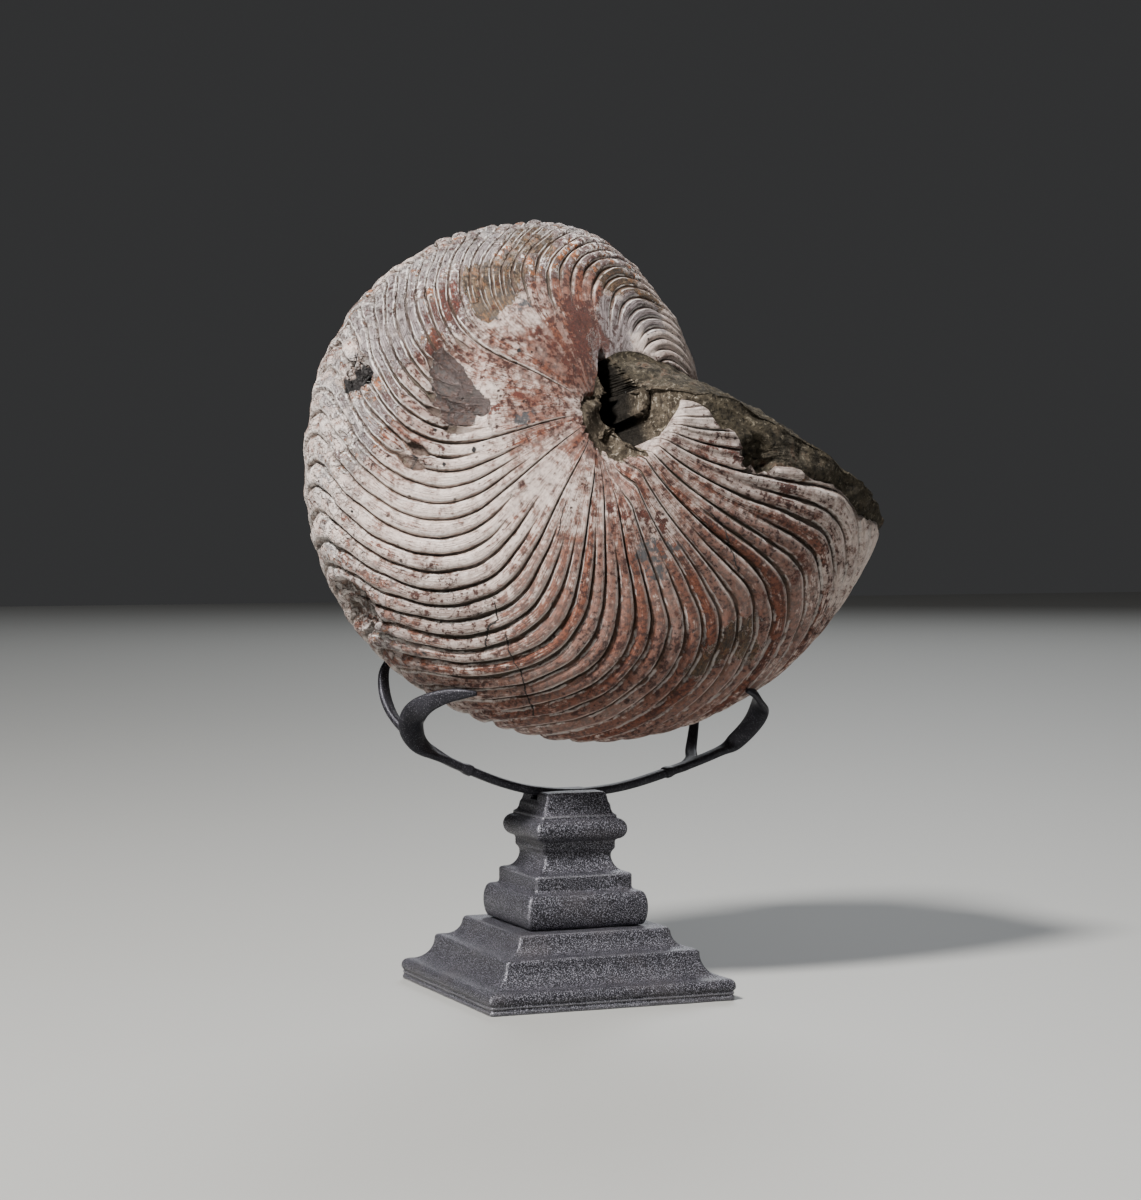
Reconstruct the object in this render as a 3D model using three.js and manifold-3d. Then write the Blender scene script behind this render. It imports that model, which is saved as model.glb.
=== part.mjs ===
// A ribbed fossil nautilus on a moulded metal stand.
//
// Millimetres, +Z up. The origin is the middle of the plinth's underside and
// the plinth's sides are parallel to X and Y. The shell's coiling axis runs
// close to Y and its broken mouth faces +X. The shell only rests on the tips
// of the stand's two forks.

import * as THREE from "three";
import Module from "manifold-3d";
import { mergeVertices } from "three/addons/utils/BufferGeometryUtils.js";

const { sin, cos, min, max, sign, PI } = Math;
const { degToRad, lerp, smoothstep } = THREE.MathUtils;

// ---------------------------------------------------------------- dimensions

// Neighbours that touch are kept this far apart.
const CLEARANCE = 0.3;

// Angles on the shell are in degrees, counter-clockwise as seen from -Y, from
// the +X side of the coiling axis. A place on a flank is an angle and a
// height s, from 0 at the umbilicus to 1 at the keel line.
const SHELL = {
  mouthRadius: 129.6, // axis to keel line at the mouth
  mouthAngle: 345,
  whorlGrowth: 2.4, // radius gained in one whorl
  halfWidth: 0.55, // half breadth of the whorl over its radius
  reachPower: 1.09, // shape of the whorl section, across and outwards
  breadthPower: 0.9,
  // Where the keel line swells: angle, half span and rise.
  swellings: [[80, 32, 3.6], [222, 42, 2.4]],
  centre: [-6, 0, 196.4],
  yaw: 1.6,
  tilt: -6,
};

const RIBS = {
  pitch: 4.68, // angle from one rib to the next
  groove: 1.7, // depth of the groove between two ribs
  crest: 0.5, // height of a rib over the mean surface
  firstAngle: 83, // ribs from here to lastAngle all have the same bend
  lastAngle: 345,
  bendHeight: 0.43, // where a rib reaches farthest towards the mouth
  keelSweep: 25, // how far the ribs fall back from there to the keel
  hollowSweep: [8, 20], // and down to the umbilicus, early and late ribs
  lateAngles: [205, 260], // the early ribs give way to the late ones
  earlyFadeIn: [0.2, 0.42], // a groove starts between these heights
  lateFadeIn: [0.03, 0.15],
  shortFadeIn: [0.24, 0.42], // every second groove starts farther out
};

// The stone that fills the mouth, and the broken edge of the shell on it.
const STONE = {
  shellThickness: 1.3,
  // [height, angle] of the stone's rim past the mouth, and of the line where
  // its broken face meets the earlier whorl.
  rim: [[0, 450], [0.03, 432], [0.06, 392], [0.11, 370], [0.29, 354], [0.48, 348], [1, 341.5]],
  foot: [[0, 95], [0.03, 88], [0.15, 76], [0.28, 55], [0.4, 35], [0.6, 20], [1, 10]],
  shellEdge: [[0, 378], [0.08, 362], [0.16, 346], [0.28, 336], [0.38, 341], [1, 339]],
  shoulder: 7, // how much farther out the rim ends beside the umbilicus
  shoulderDrop: 11, // and how much lower it is there
  bulge: 4,
  roughness: 1.6,
};

// The hollow at the coiling axis, the same on both sides: a hole in the middle
// of an upright oval funnel. Depths are distances from the middle plane.
const PIT = {
  holeRadius: 4.5,
  lip: 0.012, // height at which the funnel starts
  floor: 20,
  funnelFoot: 35,
  funnelSlope: 2,
  funnelStretch: 1.7, // along Z
  funnelRise: 2,
};

// Broken places: angle, height (over 1 on the far flank), radius and depth.
const DAMAGE = [
  { angle: 163, height: 0.43, radius: 10, depth: 2.2 },
  { angle: 175, height: 0.39, radius: 11, depth: 2.2 },
  { angle: 168, height: 0.76, radius: 6, depth: 5 },
  { angle: 192, height: 0.54, radius: 5, depth: 3 },
  { angle: 219, height: 0.97, radius: 12, depth: 4.5 },
  { angle: 341, height: 0.27, radius: 7, depth: 4 },
];

const PLINTH = {
  foot: 44.8, // half widths of the square plan
  bead: 45.4,
  lowerStep: 35.9,
  upperStep: 28.2,
  lowerStepTop: 16.1,
  upperStepTop: 22.8,
  height: 24,
};

const PEDESTAL = {
  base: 20.5, // half widths of the square plan
  bullnose: 22.5,
  band: 18.1,
  waist: 12.5,
  fillet: 13.65,
  torus: 17,
  tier: 14.3,
  cap: 10.6,
  top: 69.3,
};

// The bar's centreline in the plane y = 0, from its left end to its right.
const BAR = {
  width: 5,
  thickness: 3.2,
  line: [[-35.9, 78.4], [-24, 73.7], [-12, 70.6], [3, 69.2], [16, 69.9], [27, 71.8], [38.9, 75]],
};

// Each horn is a blade: centre, direction across the blade, width, thickness.
const LEFT_STEM = [
  [[-36.3, 0, 78.5], [0, 1, 0], 5.6, 3.2],
  [[-43.2, 0, 81.6], [0, 1, 0], 6.4, 3.2],
];
const LEFT_FRONT_HORN = [
  ...LEFT_STEM,
  [[-50.4, -1.5, 85.4], [0.35, 0.9, 0.3], 7.4, 3.2],
  [[-56.4, -5, 89.6], [0.7, 0.5, 0.3], 8.6, 3.2],
  [[-60.2, -9.5, 95], [0.85, 0.1, 0.2], 9.4, 3],
  [[-60.6, -14.5, 99.8], [0.8, -0.2, -0.3], 8.6, 3],
  [[-57.8, -19.5, 103.4], [0.5, -0.2, -0.8], 6.6, 2.8],
  [[-53, -24.2, 105.8], [0.3, -0.1, -0.9], 5, 2.6],
  [[-48.4, -27.8, 106.7], [0.2, 0, -1], 3.6, 2.2],
  [[-44, -29.9, 106.9], [0.1, 0, -1], 1.6, 1.6],
];
const LEFT_REAR_HORN = [
  ...LEFT_STEM,
  [[-50.8, 2.2, 86.4], [-0.2, 0.9, -0.2], 6, 3.2],
  [[-56.2, 5.8, 91.2], [0.5, 0.8, -0.3], 5.6, 3],
  [[-59.8, 9.6, 96.6], [0.7, 0.5, -0.3], 5.2, 2.8],
  [[-61.2, 13.5, 102], [0.8, 0.4, -0.2], 5, 2.6],
  [[-61.2, 16.8, 107.5], [0.8, 0.4, 0], 4.6, 2.4],
  [[-60, 19, 112.8], [0.8, 0.4, 0.2], 3.8, 2.2],
  [[-56.4, 19.6, 119.2], [0.7, 0.4, 0.3], 1.8, 1.6],
];
const RIGHT_STEM = [
  [[39.3, 0, 75.1], [0, 1, 0], 5.6, 3.2],
  [[46.6, 0, 77.3], [0, 1, 0], 6.2, 3.2],
];
const RIGHT_FRONT_HORN = [
  ...RIGHT_STEM,
  [[56, -0.6, 80.6], [-0.2, 0.95, -0.1], 6, 3.2],
  [[62.4, -3.4, 84.2], [-0.5, 0.7, -0.2], 6.2, 3.2],
  [[66.2, -8.6, 89.6], [0.7, -0.5, -0.1], 6.8, 3],
  [[67.2, -14.8, 94.8], [0.8, -0.4, -0.2], 7.4, 3],
  [[65.8, -20.8, 99.2], [0.7, -0.5, -0.5], 7, 2.8],
  [[62.4, -26.6, 101.8], [0.4, -0.5, -0.7], 5.4, 2.6],
  [[58.8, -30.8, 104.4], [0.2, -0.4, -0.9], 3.6, 2.2],
  [[54.6, -33.4, 105.8], [0.1, -0.3, -1], 1.6, 1.6],
];
const RIGHT_REAR_HORN = [
  ...RIGHT_STEM,
  [[50.6, 4, 79.2], [-0.6, 0.7, 0], 4.6, 3],
  [[53, 9.6, 81.8], [-0.8, 0.5, 0], 4.2, 2.8],
  [[56, 14.6, 86.4], [-0.9, 0.4, 0], 3.8, 2.6],
  [[58.6, 18.6, 92.2], [-0.9, 0.4, 0], 3.4, 2.4],
  [[60.4, 21.4, 99], [-0.9, 0.4, 0], 3, 2.2],
  [[59.8, 22.5, 106.9], [-0.9, 0.4, 0], 1.6, 1.6],
];

const MATERIALS = {
  fossil: { color: 0xb9a893, roughness: 0.7, metalness: 0 },
  stand: { color: 0x34343b, roughness: 0.55, metalness: 0.6 },
};

// ------------------------------------------------------------- shell surface

// The value at x of a line through [x, value] points.
function along(points, x) {
  const next = max(1, points.findIndex((point) => point[0] >= x));
  const [[x0, value0], [x1, value1]] = points.slice(next - 1, next + 1);
  return lerp(value0, value1, (x - x0) / (x1 - x0));
}

// A repeatable value from -0.5 to 0.5 for each pair of whole numbers.
function grain(i, j) {
  const wave = sin(i * 12.9898 + j * 78.233) * 43758.5453;
  return wave - Math.floor(wave) - 0.5;
}

function whorlRadius(angle) {
  return SHELL.mouthRadius * SHELL.whorlGrowth ** ((angle - SHELL.mouthAngle) / 360);
}

function swelling(angle) {
  const rises = SHELL.swellings.map(([middle, span, rise]) => (
    rise * smoothstep(span - Math.abs(angle - middle), 0, span)
  ));
  return rises.reduce((sum, rise) => sum + rise, 0);
}

// The mean surface, without ribs. side is -1 for the flank towards -Y.
function flankPoint(angle, height, side) {
  const quarterTurn = (PI / 2) * height;
  const pastMouth = max(0, angle - SHELL.mouthAngle) / (STONE.rim[0][1] - SHELL.mouthAngle);
  const radius = whorlRadius(angle) + swelling(angle);
  const widestRadius = whorlRadius(min(angle, SHELL.mouthAngle));
  const outsideHole = smoothstep(height, 0, PIT.lip);
  const inner = PIT.holeRadius + STONE.shoulder * pastMouth * outsideHole;
  const reach = inner + (radius - inner) * sin(quarterTurn) ** SHELL.reachPower;
  const breadth = SHELL.halfWidth * widestRadius - STONE.shoulderDrop * pastMouth;
  const bulge = breadth * max(0, cos(quarterTurn)) ** SHELL.breadthPower;
  const [x, z] = [reach * cos(degToRad(angle)), reach * sin(degToRad(angle))];
  const fromAxis = Math.hypot(x, (z - PIT.funnelRise) / PIT.funnelStretch);
  const pit = lerp(PIT.floor, PIT.funnelFoot + PIT.funnelSlope * fromAxis, outsideHole);
  return new THREE.Vector3(x, side * min(bulge, pit), z);
}

function flankNormal(angle, height, side) {
  const step = 0.01;
  const low = min(height, 1 - step);
  const around = flankPoint(angle + 1, low, side).sub(flankPoint(angle - 1, low, side));
  const outwards = flankPoint(angle, low + step, side).sub(flankPoint(angle, low, side));
  if (height === 1) {
    return new THREE.Vector3(cos(degToRad(angle)), 0, sin(degToRad(angle)));
  }
  return around.cross(outwards).multiplyScalar(-side).normalize();
}

// How far a rib lies behind its own angle at a height.
function ribSweep(ribAngle, height) {
  if (height > RIBS.bendHeight) {
    return -RIBS.keelSweep * smoothstep(height, RIBS.bendHeight, 1);
  }
  const late = smoothstep(ribAngle, ...RIBS.lateAngles);
  const sweep = lerp(...RIBS.hollowSweep, late);
  return -sweep * (1 - height / RIBS.bendHeight) ** 2;
}

// Rows of the surface's grid: two to a rib, first fanned out from the foot of
// the stone, then along the ribs, then closing up to the stone's rim.
const FAN_ROWS = 22;
const RIB_ROWS = 2 * Math.round((RIBS.lastAngle - RIBS.firstAngle) / RIBS.pitch);
const CLOSING_ROWS = 10;
const LAST_ROW = FAN_ROWS + RIB_ROWS + CLOSING_ROWS;

function rowAngle(row, height) {
  const ribLine = (angle) => angle + ribSweep(angle, height);
  if (row < FAN_ROWS) {
    return lerp(along(STONE.foot, height), ribLine(RIBS.firstAngle), row / FAN_ROWS);
  }
  const ribRow = row - FAN_ROWS;
  if (ribRow <= RIB_ROWS) {
    return ribLine(lerp(RIBS.firstAngle, RIBS.lastAngle, ribRow / RIB_ROWS));
  }
  const closing = (ribRow - RIB_ROWS) / CLOSING_ROWS;
  return lerp(ribLine(RIBS.lastAngle), along(STONE.rim, height), closing);
}

// Height over the mean surface: crests, grooves, the thickness of the shell
// missing from the stone, and the broken places.
function relief(row, column, angle, height, side) {
  if (angle > along(STONE.shellEdge, height)) {
    return -STONE.shellThickness + STONE.roughness * grain(row, column);
  }
  const [isGroove, isLong] = [row % 2 === 0, row % 4 === 0];
  const early = smoothstep(height, ...RIBS.earlyFadeIn);
  const late = smoothstep(height, ...(isLong ? RIBS.lateFadeIn : RIBS.shortFadeIn));
  const ribbed = lerp(early, late, smoothstep(angle, ...RIBS.lateAngles));
  const level = ribbed * (isGroove ? RIBS.crest - RIBS.groove : RIBS.crest);
  const here = flankPoint(angle, height, side);
  return DAMAGE.reduce((lowest, broken) => {
    const centre = flankPoint(broken.angle, broken.height, -1);
    const missing = 1 - smoothstep(here.distanceTo(centre), 0.7 * broken.radius, broken.radius);
    return min(lowest, level - missing * (broken.depth + level));
  }, level);
}

const COLUMN_HEIGHTS = [0, PIT.lip, 0.045, 0.1, 0.17, 0.25, 0.34, 0.43, 0.52, 0.62, 0.73, 0.86];
const COLUMNS = [
  ...COLUMN_HEIGHTS.map((height) => ({ height, side: -1 })),
  { height: 1, side: 1 },
  ...COLUMN_HEIGHTS.toReversed().map((height) => ({ height, side: 1 })),
];

function shellRow(row) {
  return COLUMNS.map(({ height, side }, column) => {
    const angle = rowAngle(row, height);
    const lift = relief(row, column, angle, height, side);
    return flankPoint(angle, height, side).addScaledVector(flankNormal(angle, height, side), lift);
  });
}

// The broken face of the stone, from its rim back to the earlier whorl.
const FACE_STEPS = 4;
function stoneRow(rim, foot, step) {
  const share = step / FACE_STEPS;
  const outwards = new THREE.Vector3(sin(degToRad(15)), 0, cos(degToRad(15)));
  return rim.map((point, column) => {
    const middle = 1 - Math.abs(1 - (2 * column) / (COLUMNS.length - 1));
    const bulge = STONE.bulge * middle * sin(PI * share);
    const rough = 2 * STONE.roughness * grain(step, column) * min(1, 4 * middle);
    return point.clone().lerp(foot[column], share).addScaledVector(outwards, bulge + rough);
  });
}

function fossilGeometry() {
  const rows = [];
  for (let row = 0; row <= LAST_ROW; row += 1) {
    rows.push(shellRow(row));
  }
  const [foot, rim] = [rows[0], rows[LAST_ROW]];
  for (let step = 1; step < FACE_STEPS; step += 1) {
    rows.push(stoneRow(rim, foot, step));
  }
  const width = COLUMNS.length;
  const positions = rows.flat().flatMap((point) => point.toArray());
  positions.push(0, -PIT.floor, 0, 0, PIT.floor, 0);
  const [nearFloor, farFloor] = [rows.length * width, rows.length * width + 1];
  const triangles = [];
  rows.forEach((_, row) => {
    const here = row * width;
    const next = ((row + 1) % rows.length) * width;
    for (let column = 0; column < width - 1; column += 1) {
      const [a, b, c, d] = [here + column, here + column + 1, next + column + 1, next + column];
      triangles.push(a, b, c, a, c, d);
    }
    triangles.push(nearFloor, here, next);
    triangles.push(farFloor, next + width - 1, here + width - 1);
  });
  const geometry = new THREE.BufferGeometry();
  geometry.setAttribute("position", new THREE.Float32BufferAttribute(positions, 3));
  geometry.setIndex(triangles);
  geometry.computeVertexNormals();
  return geometry;
}

// ----------------------------------------------------------- mouldings

// Points of a hollow quarter curve from one [half width, z] to the next: level
// where it starts and upright where it ends.
function cavetto([half0, z0], [half1, z1], steps = 5) {
  return Array.from({ length: steps + 1 }, (_, i) => {
    const turn = ((PI / 2) * i) / steps;
    return [half0 + (half1 - half0) * sin(turn), z0 + (z1 - z0) * (1 - cos(turn))];
  });
}

// Points of a rounded edge that bulges from the half width `inner` to `outer`.
function roundEdge(inner, outer, z0, z1, steps = 6) {
  return Array.from({ length: steps + 1 }, (_, i) => {
    const turn = (PI * i) / steps;
    return [inner + (outer - inner) * sin(turn), (z0 + z1) / 2 - ((z1 - z0) / 2) * cos(turn)];
  });
}

// A solid of square plan whose four sides all have this profile.
function squareMoulding(profile) {
  const points = profile.map(([half, z]) => new THREE.Vector2(half * Math.SQRT2, z));
  const geometry = new THREE.LatheGeometry(points, 4, PI / 4);
  return geometry.rotateX(PI / 2);
}

function plinthGeometry() {
  const { foot, bead, lowerStep, upperStep, lowerStepTop, upperStepTop, height } = PLINTH;
  return squareMoulding([
    [0, 0],
    [foot, 0],
    [foot, 1.8],
    [foot - 0.7, 2.3],
    ...roundEdge(foot - 0.5, bead, 2.6, 7.2),
    ...cavetto([foot - 1.6, 7.5], [lowerStep, lowerStepTop]),
    [lowerStep - 0.6, lowerStepTop + 0.7],
    ...cavetto([lowerStep - 1.6, lowerStepTop + 0.8], [upperStep, upperStepTop]),
    [upperStep - 0.7, height],
    [0, height],
  ]);
}

function pedestalGeometry() {
  const { base, bullnose, band, waist, fillet, torus, tier, cap, top } = PEDESTAL;
  const bottom = PLINTH.height + CLEARANCE;
  const scotia = cavetto([band - 1.2, 42.6], [waist, 48.4], 5);
  return squareMoulding([
    [0, bottom],
    ...roundEdge(base, bullnose, bottom, 36.2, 8),
    ...cavetto([base - 0.4, 36.4], [band, 37.4], 2),
    [band, 42],
    ...scotia,
    [waist + 0.3, 49.6],
    [fillet, 50.6],
    [fillet, 53],
    ...roundEdge(torus - 3, torus, 53.8, 61.4, 7),
    [tier, 61.6],
    [tier, 62.4],
    ...cavetto([tier - 0.4, 62.6], [cap + 1.9, 65.8], 3),
    [cap + 1.3, 66.6],
    [cap + 0.7, top - 0.8],
    [cap, top],
    [0, top],
  ]);
}

// ---------------------------------------------------------------- the cradle

// Stations between the given ones, so that a bend is smooth.
function refine(stations, perSpan) {
  const centres = stations.map(([centre]) => new THREE.Vector3(...centre));
  const curve = new THREE.CatmullRomCurve3(centres, false, "centripetal");
  const spans = stations.length - 1;
  return Array.from({ length: spans * perSpan + 1 }, (_, i) => {
    const from = min(spans - 1, Math.floor(i / perSpan));
    const share = i / perSpan - from;
    const [, across0, width0, thickness0] = stations[from];
    const [, across1, width1, thickness1] = stations[from + 1];
    return {
      centre: curve.getPoint(i / (spans * perSpan)),
      along: curve.getTangent(i / (spans * perSpan)),
      across: new THREE.Vector3(...across0).normalize()
        .lerp(new THREE.Vector3(...across1).normalize(), share),
      width: lerp(width0, width1, share),
      thickness: lerp(thickness0, thickness1, share),
    };
  });
}

// A closed blade with an eight-sided section, lofted through the stations.
function bladeGeometry(stations, perSpan = 2) {
  const sides = 8;
  const rings = refine(stations, perSpan);
  const positions = rings.flatMap(({ centre, along: ahead, across, width, thickness }) => {
    const flat = across.clone().addScaledVector(ahead, -across.dot(ahead)).normalize();
    const up = ahead.clone().cross(flat);
    return Array.from({ length: sides }, (_, i) => {
      const turn = (2 * PI * (i + 0.5)) / sides;
      const [x, y] = [cos(turn), sin(turn)].map((part) => sign(part) * Math.abs(part) ** 0.7);
      return centre.clone()
        .addScaledVector(flat, (x * width) / 2)
        .addScaledVector(up, (y * thickness) / 2)
        .toArray();
    }).flat();
  });
  const triangles = [];
  for (let ring = 0; ring < rings.length - 1; ring += 1) {
    for (let i = 0; i < sides; i += 1) {
      const [a, b] = [ring * sides + i, ring * sides + ((i + 1) % sides)];
      triangles.push(a, b, b + sides, a, b + sides, a + sides);
    }
  }
  const lastRing = (rings.length - 1) * sides;
  for (let i = 1; i < sides - 1; i += 1) {
    triangles.push(0, i + 1, i);
    triangles.push(lastRing, lastRing + i, lastRing + i + 1);
  }
  const geometry = new THREE.BufferGeometry();
  geometry.setAttribute("position", new THREE.Float32BufferAttribute(positions, 3));
  geometry.setIndex(triangles);
  return geometry;
}

function barGeometry() {
  const across = [0, 1, 0];
  const stations = BAR.line.map(([x, z]) => [[x, 0, z], across, BAR.width, BAR.thickness]);
  return bladeGeometry(stations);
}

// ---------------------------------------------------------------- booleans

const wasm = await Module();
wasm.setup();

function toSolid(geometry) {
  const bare = geometry.clone();
  bare.deleteAttribute("normal");
  bare.deleteAttribute("uv");
  const merged = mergeVertices(bare, 1e-4);
  const { index, attributes } = merged;
  const mesh = new wasm.Mesh({
    numProp: 3,
    vertProperties: Float32Array.from(attributes.position.array),
    triVerts: Uint32Array.from(index.array),
  });
  return new wasm.Manifold(mesh);
}

function toGeometry(solid) {
  const { vertProperties, triVerts } = solid.getMesh();
  const geometry = new THREE.BufferGeometry();
  geometry.setAttribute("position", new THREE.Float32BufferAttribute(vertProperties, 3));
  geometry.setIndex(Array.from(triVerts));
  geometry.computeVertexNormals();
  return geometry;
}

// The cap has a shallow slot in which the bar lies.
function slottedPedestalGeometry() {
  const bottom = BAR.line[3][1] - BAR.thickness / 2 - CLEARANCE;
  const slot = new THREE.BoxGeometry(40, BAR.width + 2 * CLEARANCE, 10);
  slot.translate(0, 0, bottom + 5);
  return toGeometry(toSolid(pedestalGeometry()).subtract(toSolid(slot)));
}

function forkGeometry(frontHorn, rearHorn) {
  const front = toSolid(bladeGeometry(frontHorn));
  return toGeometry(front.add(toSolid(bladeGeometry(rearHorn))));
}

// ---------------------------------------------------------------- the object

function piece(name, geometry, look) {
  const mesh = new THREE.Mesh(geometry, new THREE.MeshStandardMaterial(look));
  mesh.name = name;
  return mesh;
}

const fossil = piece("fossil_nautilus", fossilGeometry(), MATERIALS.fossil);
fossil.position.set(...SHELL.centre);
fossil.rotation.set(degToRad(SHELL.tilt), 0, degToRad(SHELL.yaw), "ZXY");

const stand = new THREE.Group();
stand.add(
  piece("plinth", plinthGeometry(), MATERIALS.stand),
  piece("pedestal", slottedPedestalGeometry(), MATERIALS.stand),
  piece("cradle_bar", barGeometry(), MATERIALS.stand),
  piece("left_fork", forkGeometry(LEFT_FRONT_HORN, LEFT_REAR_HORN), MATERIALS.stand),
  piece("right_fork", forkGeometry(RIGHT_FRONT_HORN, RIGHT_REAR_HORN), MATERIALS.stand),
);

const nautilusOnStand = new THREE.Group();
nautilusOnStand.add(stand, fossil);

export default nautilusOnStand;
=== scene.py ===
"""A ribbed fossil nautilus on a moulded metal stand, dressed for close views.

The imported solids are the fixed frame. The shell with its stone filling, the
mouldings of the stand and the horns of the cradle are rebuilt here with fine
surfaces and procedural finishes, each in the place of its solid.

Everything is in metres, +Z up. Angles on the shell are in degrees, counter-
clockwise as seen from -Y, from the +X side of the coiling axis. A place on a
flank is an angle and a height, from 0 at the umbilicus to 1 at the keel line.
"""

import math

import bpy
import numpy as np
from mathutils import Euler, Matrix, Vector, noise


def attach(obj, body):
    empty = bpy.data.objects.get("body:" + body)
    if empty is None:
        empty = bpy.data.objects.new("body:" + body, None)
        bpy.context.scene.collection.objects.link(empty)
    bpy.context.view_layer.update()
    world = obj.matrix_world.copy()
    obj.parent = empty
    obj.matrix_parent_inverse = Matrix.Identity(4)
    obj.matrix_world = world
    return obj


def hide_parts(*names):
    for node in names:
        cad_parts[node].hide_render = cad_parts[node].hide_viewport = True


bl_info = {
    "name": "Fossil Nautilus on a Stand",
    "version": (1, 0, 0),
    "blender": (4, 5, 0),
    "location": "View3D > Sidebar > Nautilus",
    "description": "Builds a ribbed fossil nautilus, its moulded metal stand and a studio",
    "category": "Object",
}

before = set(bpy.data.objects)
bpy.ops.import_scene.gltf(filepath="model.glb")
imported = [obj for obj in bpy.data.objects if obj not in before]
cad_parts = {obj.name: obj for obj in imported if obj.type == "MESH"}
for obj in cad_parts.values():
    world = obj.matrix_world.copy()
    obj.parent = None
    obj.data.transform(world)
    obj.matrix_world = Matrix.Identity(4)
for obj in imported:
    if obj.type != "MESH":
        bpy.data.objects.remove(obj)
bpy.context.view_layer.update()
MM = 0.001

# ---------------------------------------------------------------- the shell

# Where the keel line swells: angle, half span and rise.
SWELLINGS = ((80, 32, 3.6 * MM), (222, 42, 2.4 * MM))
MOUTH_ANGLE = 345
# The powers of sine and cosine that shape the section across the whorl.
KEEL_FULLNESS, FLANK_FULLNESS = 1.09, 0.9
LIP_ANGLES = (378.0, 440.0)  # where the stone over the hollow narrows
# [height, angle] of the stone's rim, of the line where its broken face meets
# the earlier whorl, and of the jagged edge of the shell on the stone.
STONE_RIM = (
    (0, 450), (0.006, 405), (0.03, 388), (0.06, 380), (0.11, 370), (0.29, 354), (0.48, 348),
    (1, 341.5),
)
STONE_FOOT = ((0, 95), (0.03, 88), (0.15, 76), (0.28, 55), (0.4, 35), (0.6, 20), (1, 10))
SHELL_EDGE = (
    (0, 376), (0.03, 374), (0.055, 370), (0.08, 364), (0.1, 362), (0.13, 357), (0.15, 350),
    (0.165, 345), (0.19, 348), (0.21, 344), (0.23, 340), (0.26, 336), (0.29, 334), (0.3, 338),
    (0.31, 340), (0.37, 343), (0.4, 341.5), (0.48, 343), (0.56, 341.5), (0.61, 340.5),
    (0.74, 342), (0.86, 341.5), (1, 339),
)
# [rib angle, height] of the ring round the umbilicus where the shell starts.
COLLAR = (
    (22, 0.028), (106, 0.028), (180, 0.03), (235, 0.045), (270, 0.06), (322, 0.07), (400, 0.07),
)
# Its raggedness comes in over the first two angles and goes out over the other two.
RAGGED_ANGLES, CALM_ANGLES = (106.0, 130.0), (334.0, 322.0)
RAGGEDNESS = 1.8

# The ribs from FIRST_RIB on; a rib's own angle is the furthest it reaches, where it
# bends. Tables go by the rib's own angle: the bend's height, and how many degrees the
# rib lies back at the keel line and at the hollow.
FIRST_RIB = 23.8
RIB_COUNT = 83
WIDE_RIBS = 20  # the first ribs, which are wider
WIDER_BY = 0.92  # degrees
BEND_HEIGHT = (
    (22, 0.4), (150, 0.34), (195, 0.33), (232, 0.4), (280, 0.45), (330, 0.5), (412, 0.5),
)
KEEL_SWEEP = ((22, 36), (190, 38), (240, 29.5), (276, 26.5), (336, 20), (412, 20))
HOLLOW_SWEEP = ((22, 8), (200, 8), (240, 11.5), (276, 21), (302, 32), (412, 33))
# Grooves that run right up to the hollow: these, and every other one from LATE_GROOVE.
LONG_GROOVES = (27, 36, 41, 46)
LATE_GROOVE = 50
LONG_START = 0.03  # the height at which a long groove starts
START_SPREAD = 0.16  # how widely the starts of the other grooves vary
GROOVE_FADE = 0.12  # the height over which a groove comes in
RIB_LEAN = 1.3  # over 1, the crest of a rib lies nearer the mouth
RIB_SQUARENESS = 4.0  # over 2, a rib is flat on its back and its grooves are narrow
RIB_LEVEL = 0.8  # the share of a rib's height that lies below the mean surface
UNEVEN_RIBS = 0.45  # how much prouder one rib may stand than the next
INNER_DEPTH = 0.6  # the share of the groove depth that is left near the hollow
# How proud the ribs stand, by angle, against the full groove depth, and the height at
# which the other grooves start.
SWELL = ((22, 0.5), (100, 0.34), (135, 0.3), (175, 0.6), (235, 0.68), (275, 0.88), (412, 0.92))
EARLY_START = (
    (22, 0.3), (60, 0.32), (100, 0.34), (115, 0.4), (150, 0.42), (175, 0.34), (192, 0.24),
    (235, 0.26), (412, 0.26),
)

# The umbilical hollow: an upright oval funnel, steeper towards the mouth, with a slot.
HOLE_LIP = 0.012  # height of the ring round the funnel's middle
HOLE_SHIFT = 7 * MM  # how far the middle of the grid is drawn towards the mouth
FUNNEL_STRETCH = 1.7  # its height over its breadth
FUNNEL_SLOPES = (0.95, 2.8)  # away from the mouth and towards it
FUNNEL_BLEND = 4 * MM  # half breadth of the change from one slope to the other
FUNNEL_PLACE = (6 * MM, 2 * MM)  # x and z of its middle, from the coiling axis
CREST_ROUNDING = 5 * MM  # where the funnel meets the flank

# The dark slot in the hollow, from the coiling axis: x and z of its middle, half
# breadth, half height and how far it leans.
SLOT = (7.4 * MM, 4 * MM, 3.1 * MM, 15 * MM)
SLOT_LEAN = 0.1
SLOT_RIM = (1.6, 0.5)  # where its wall starts and ends: squared distance in half sizes

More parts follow.
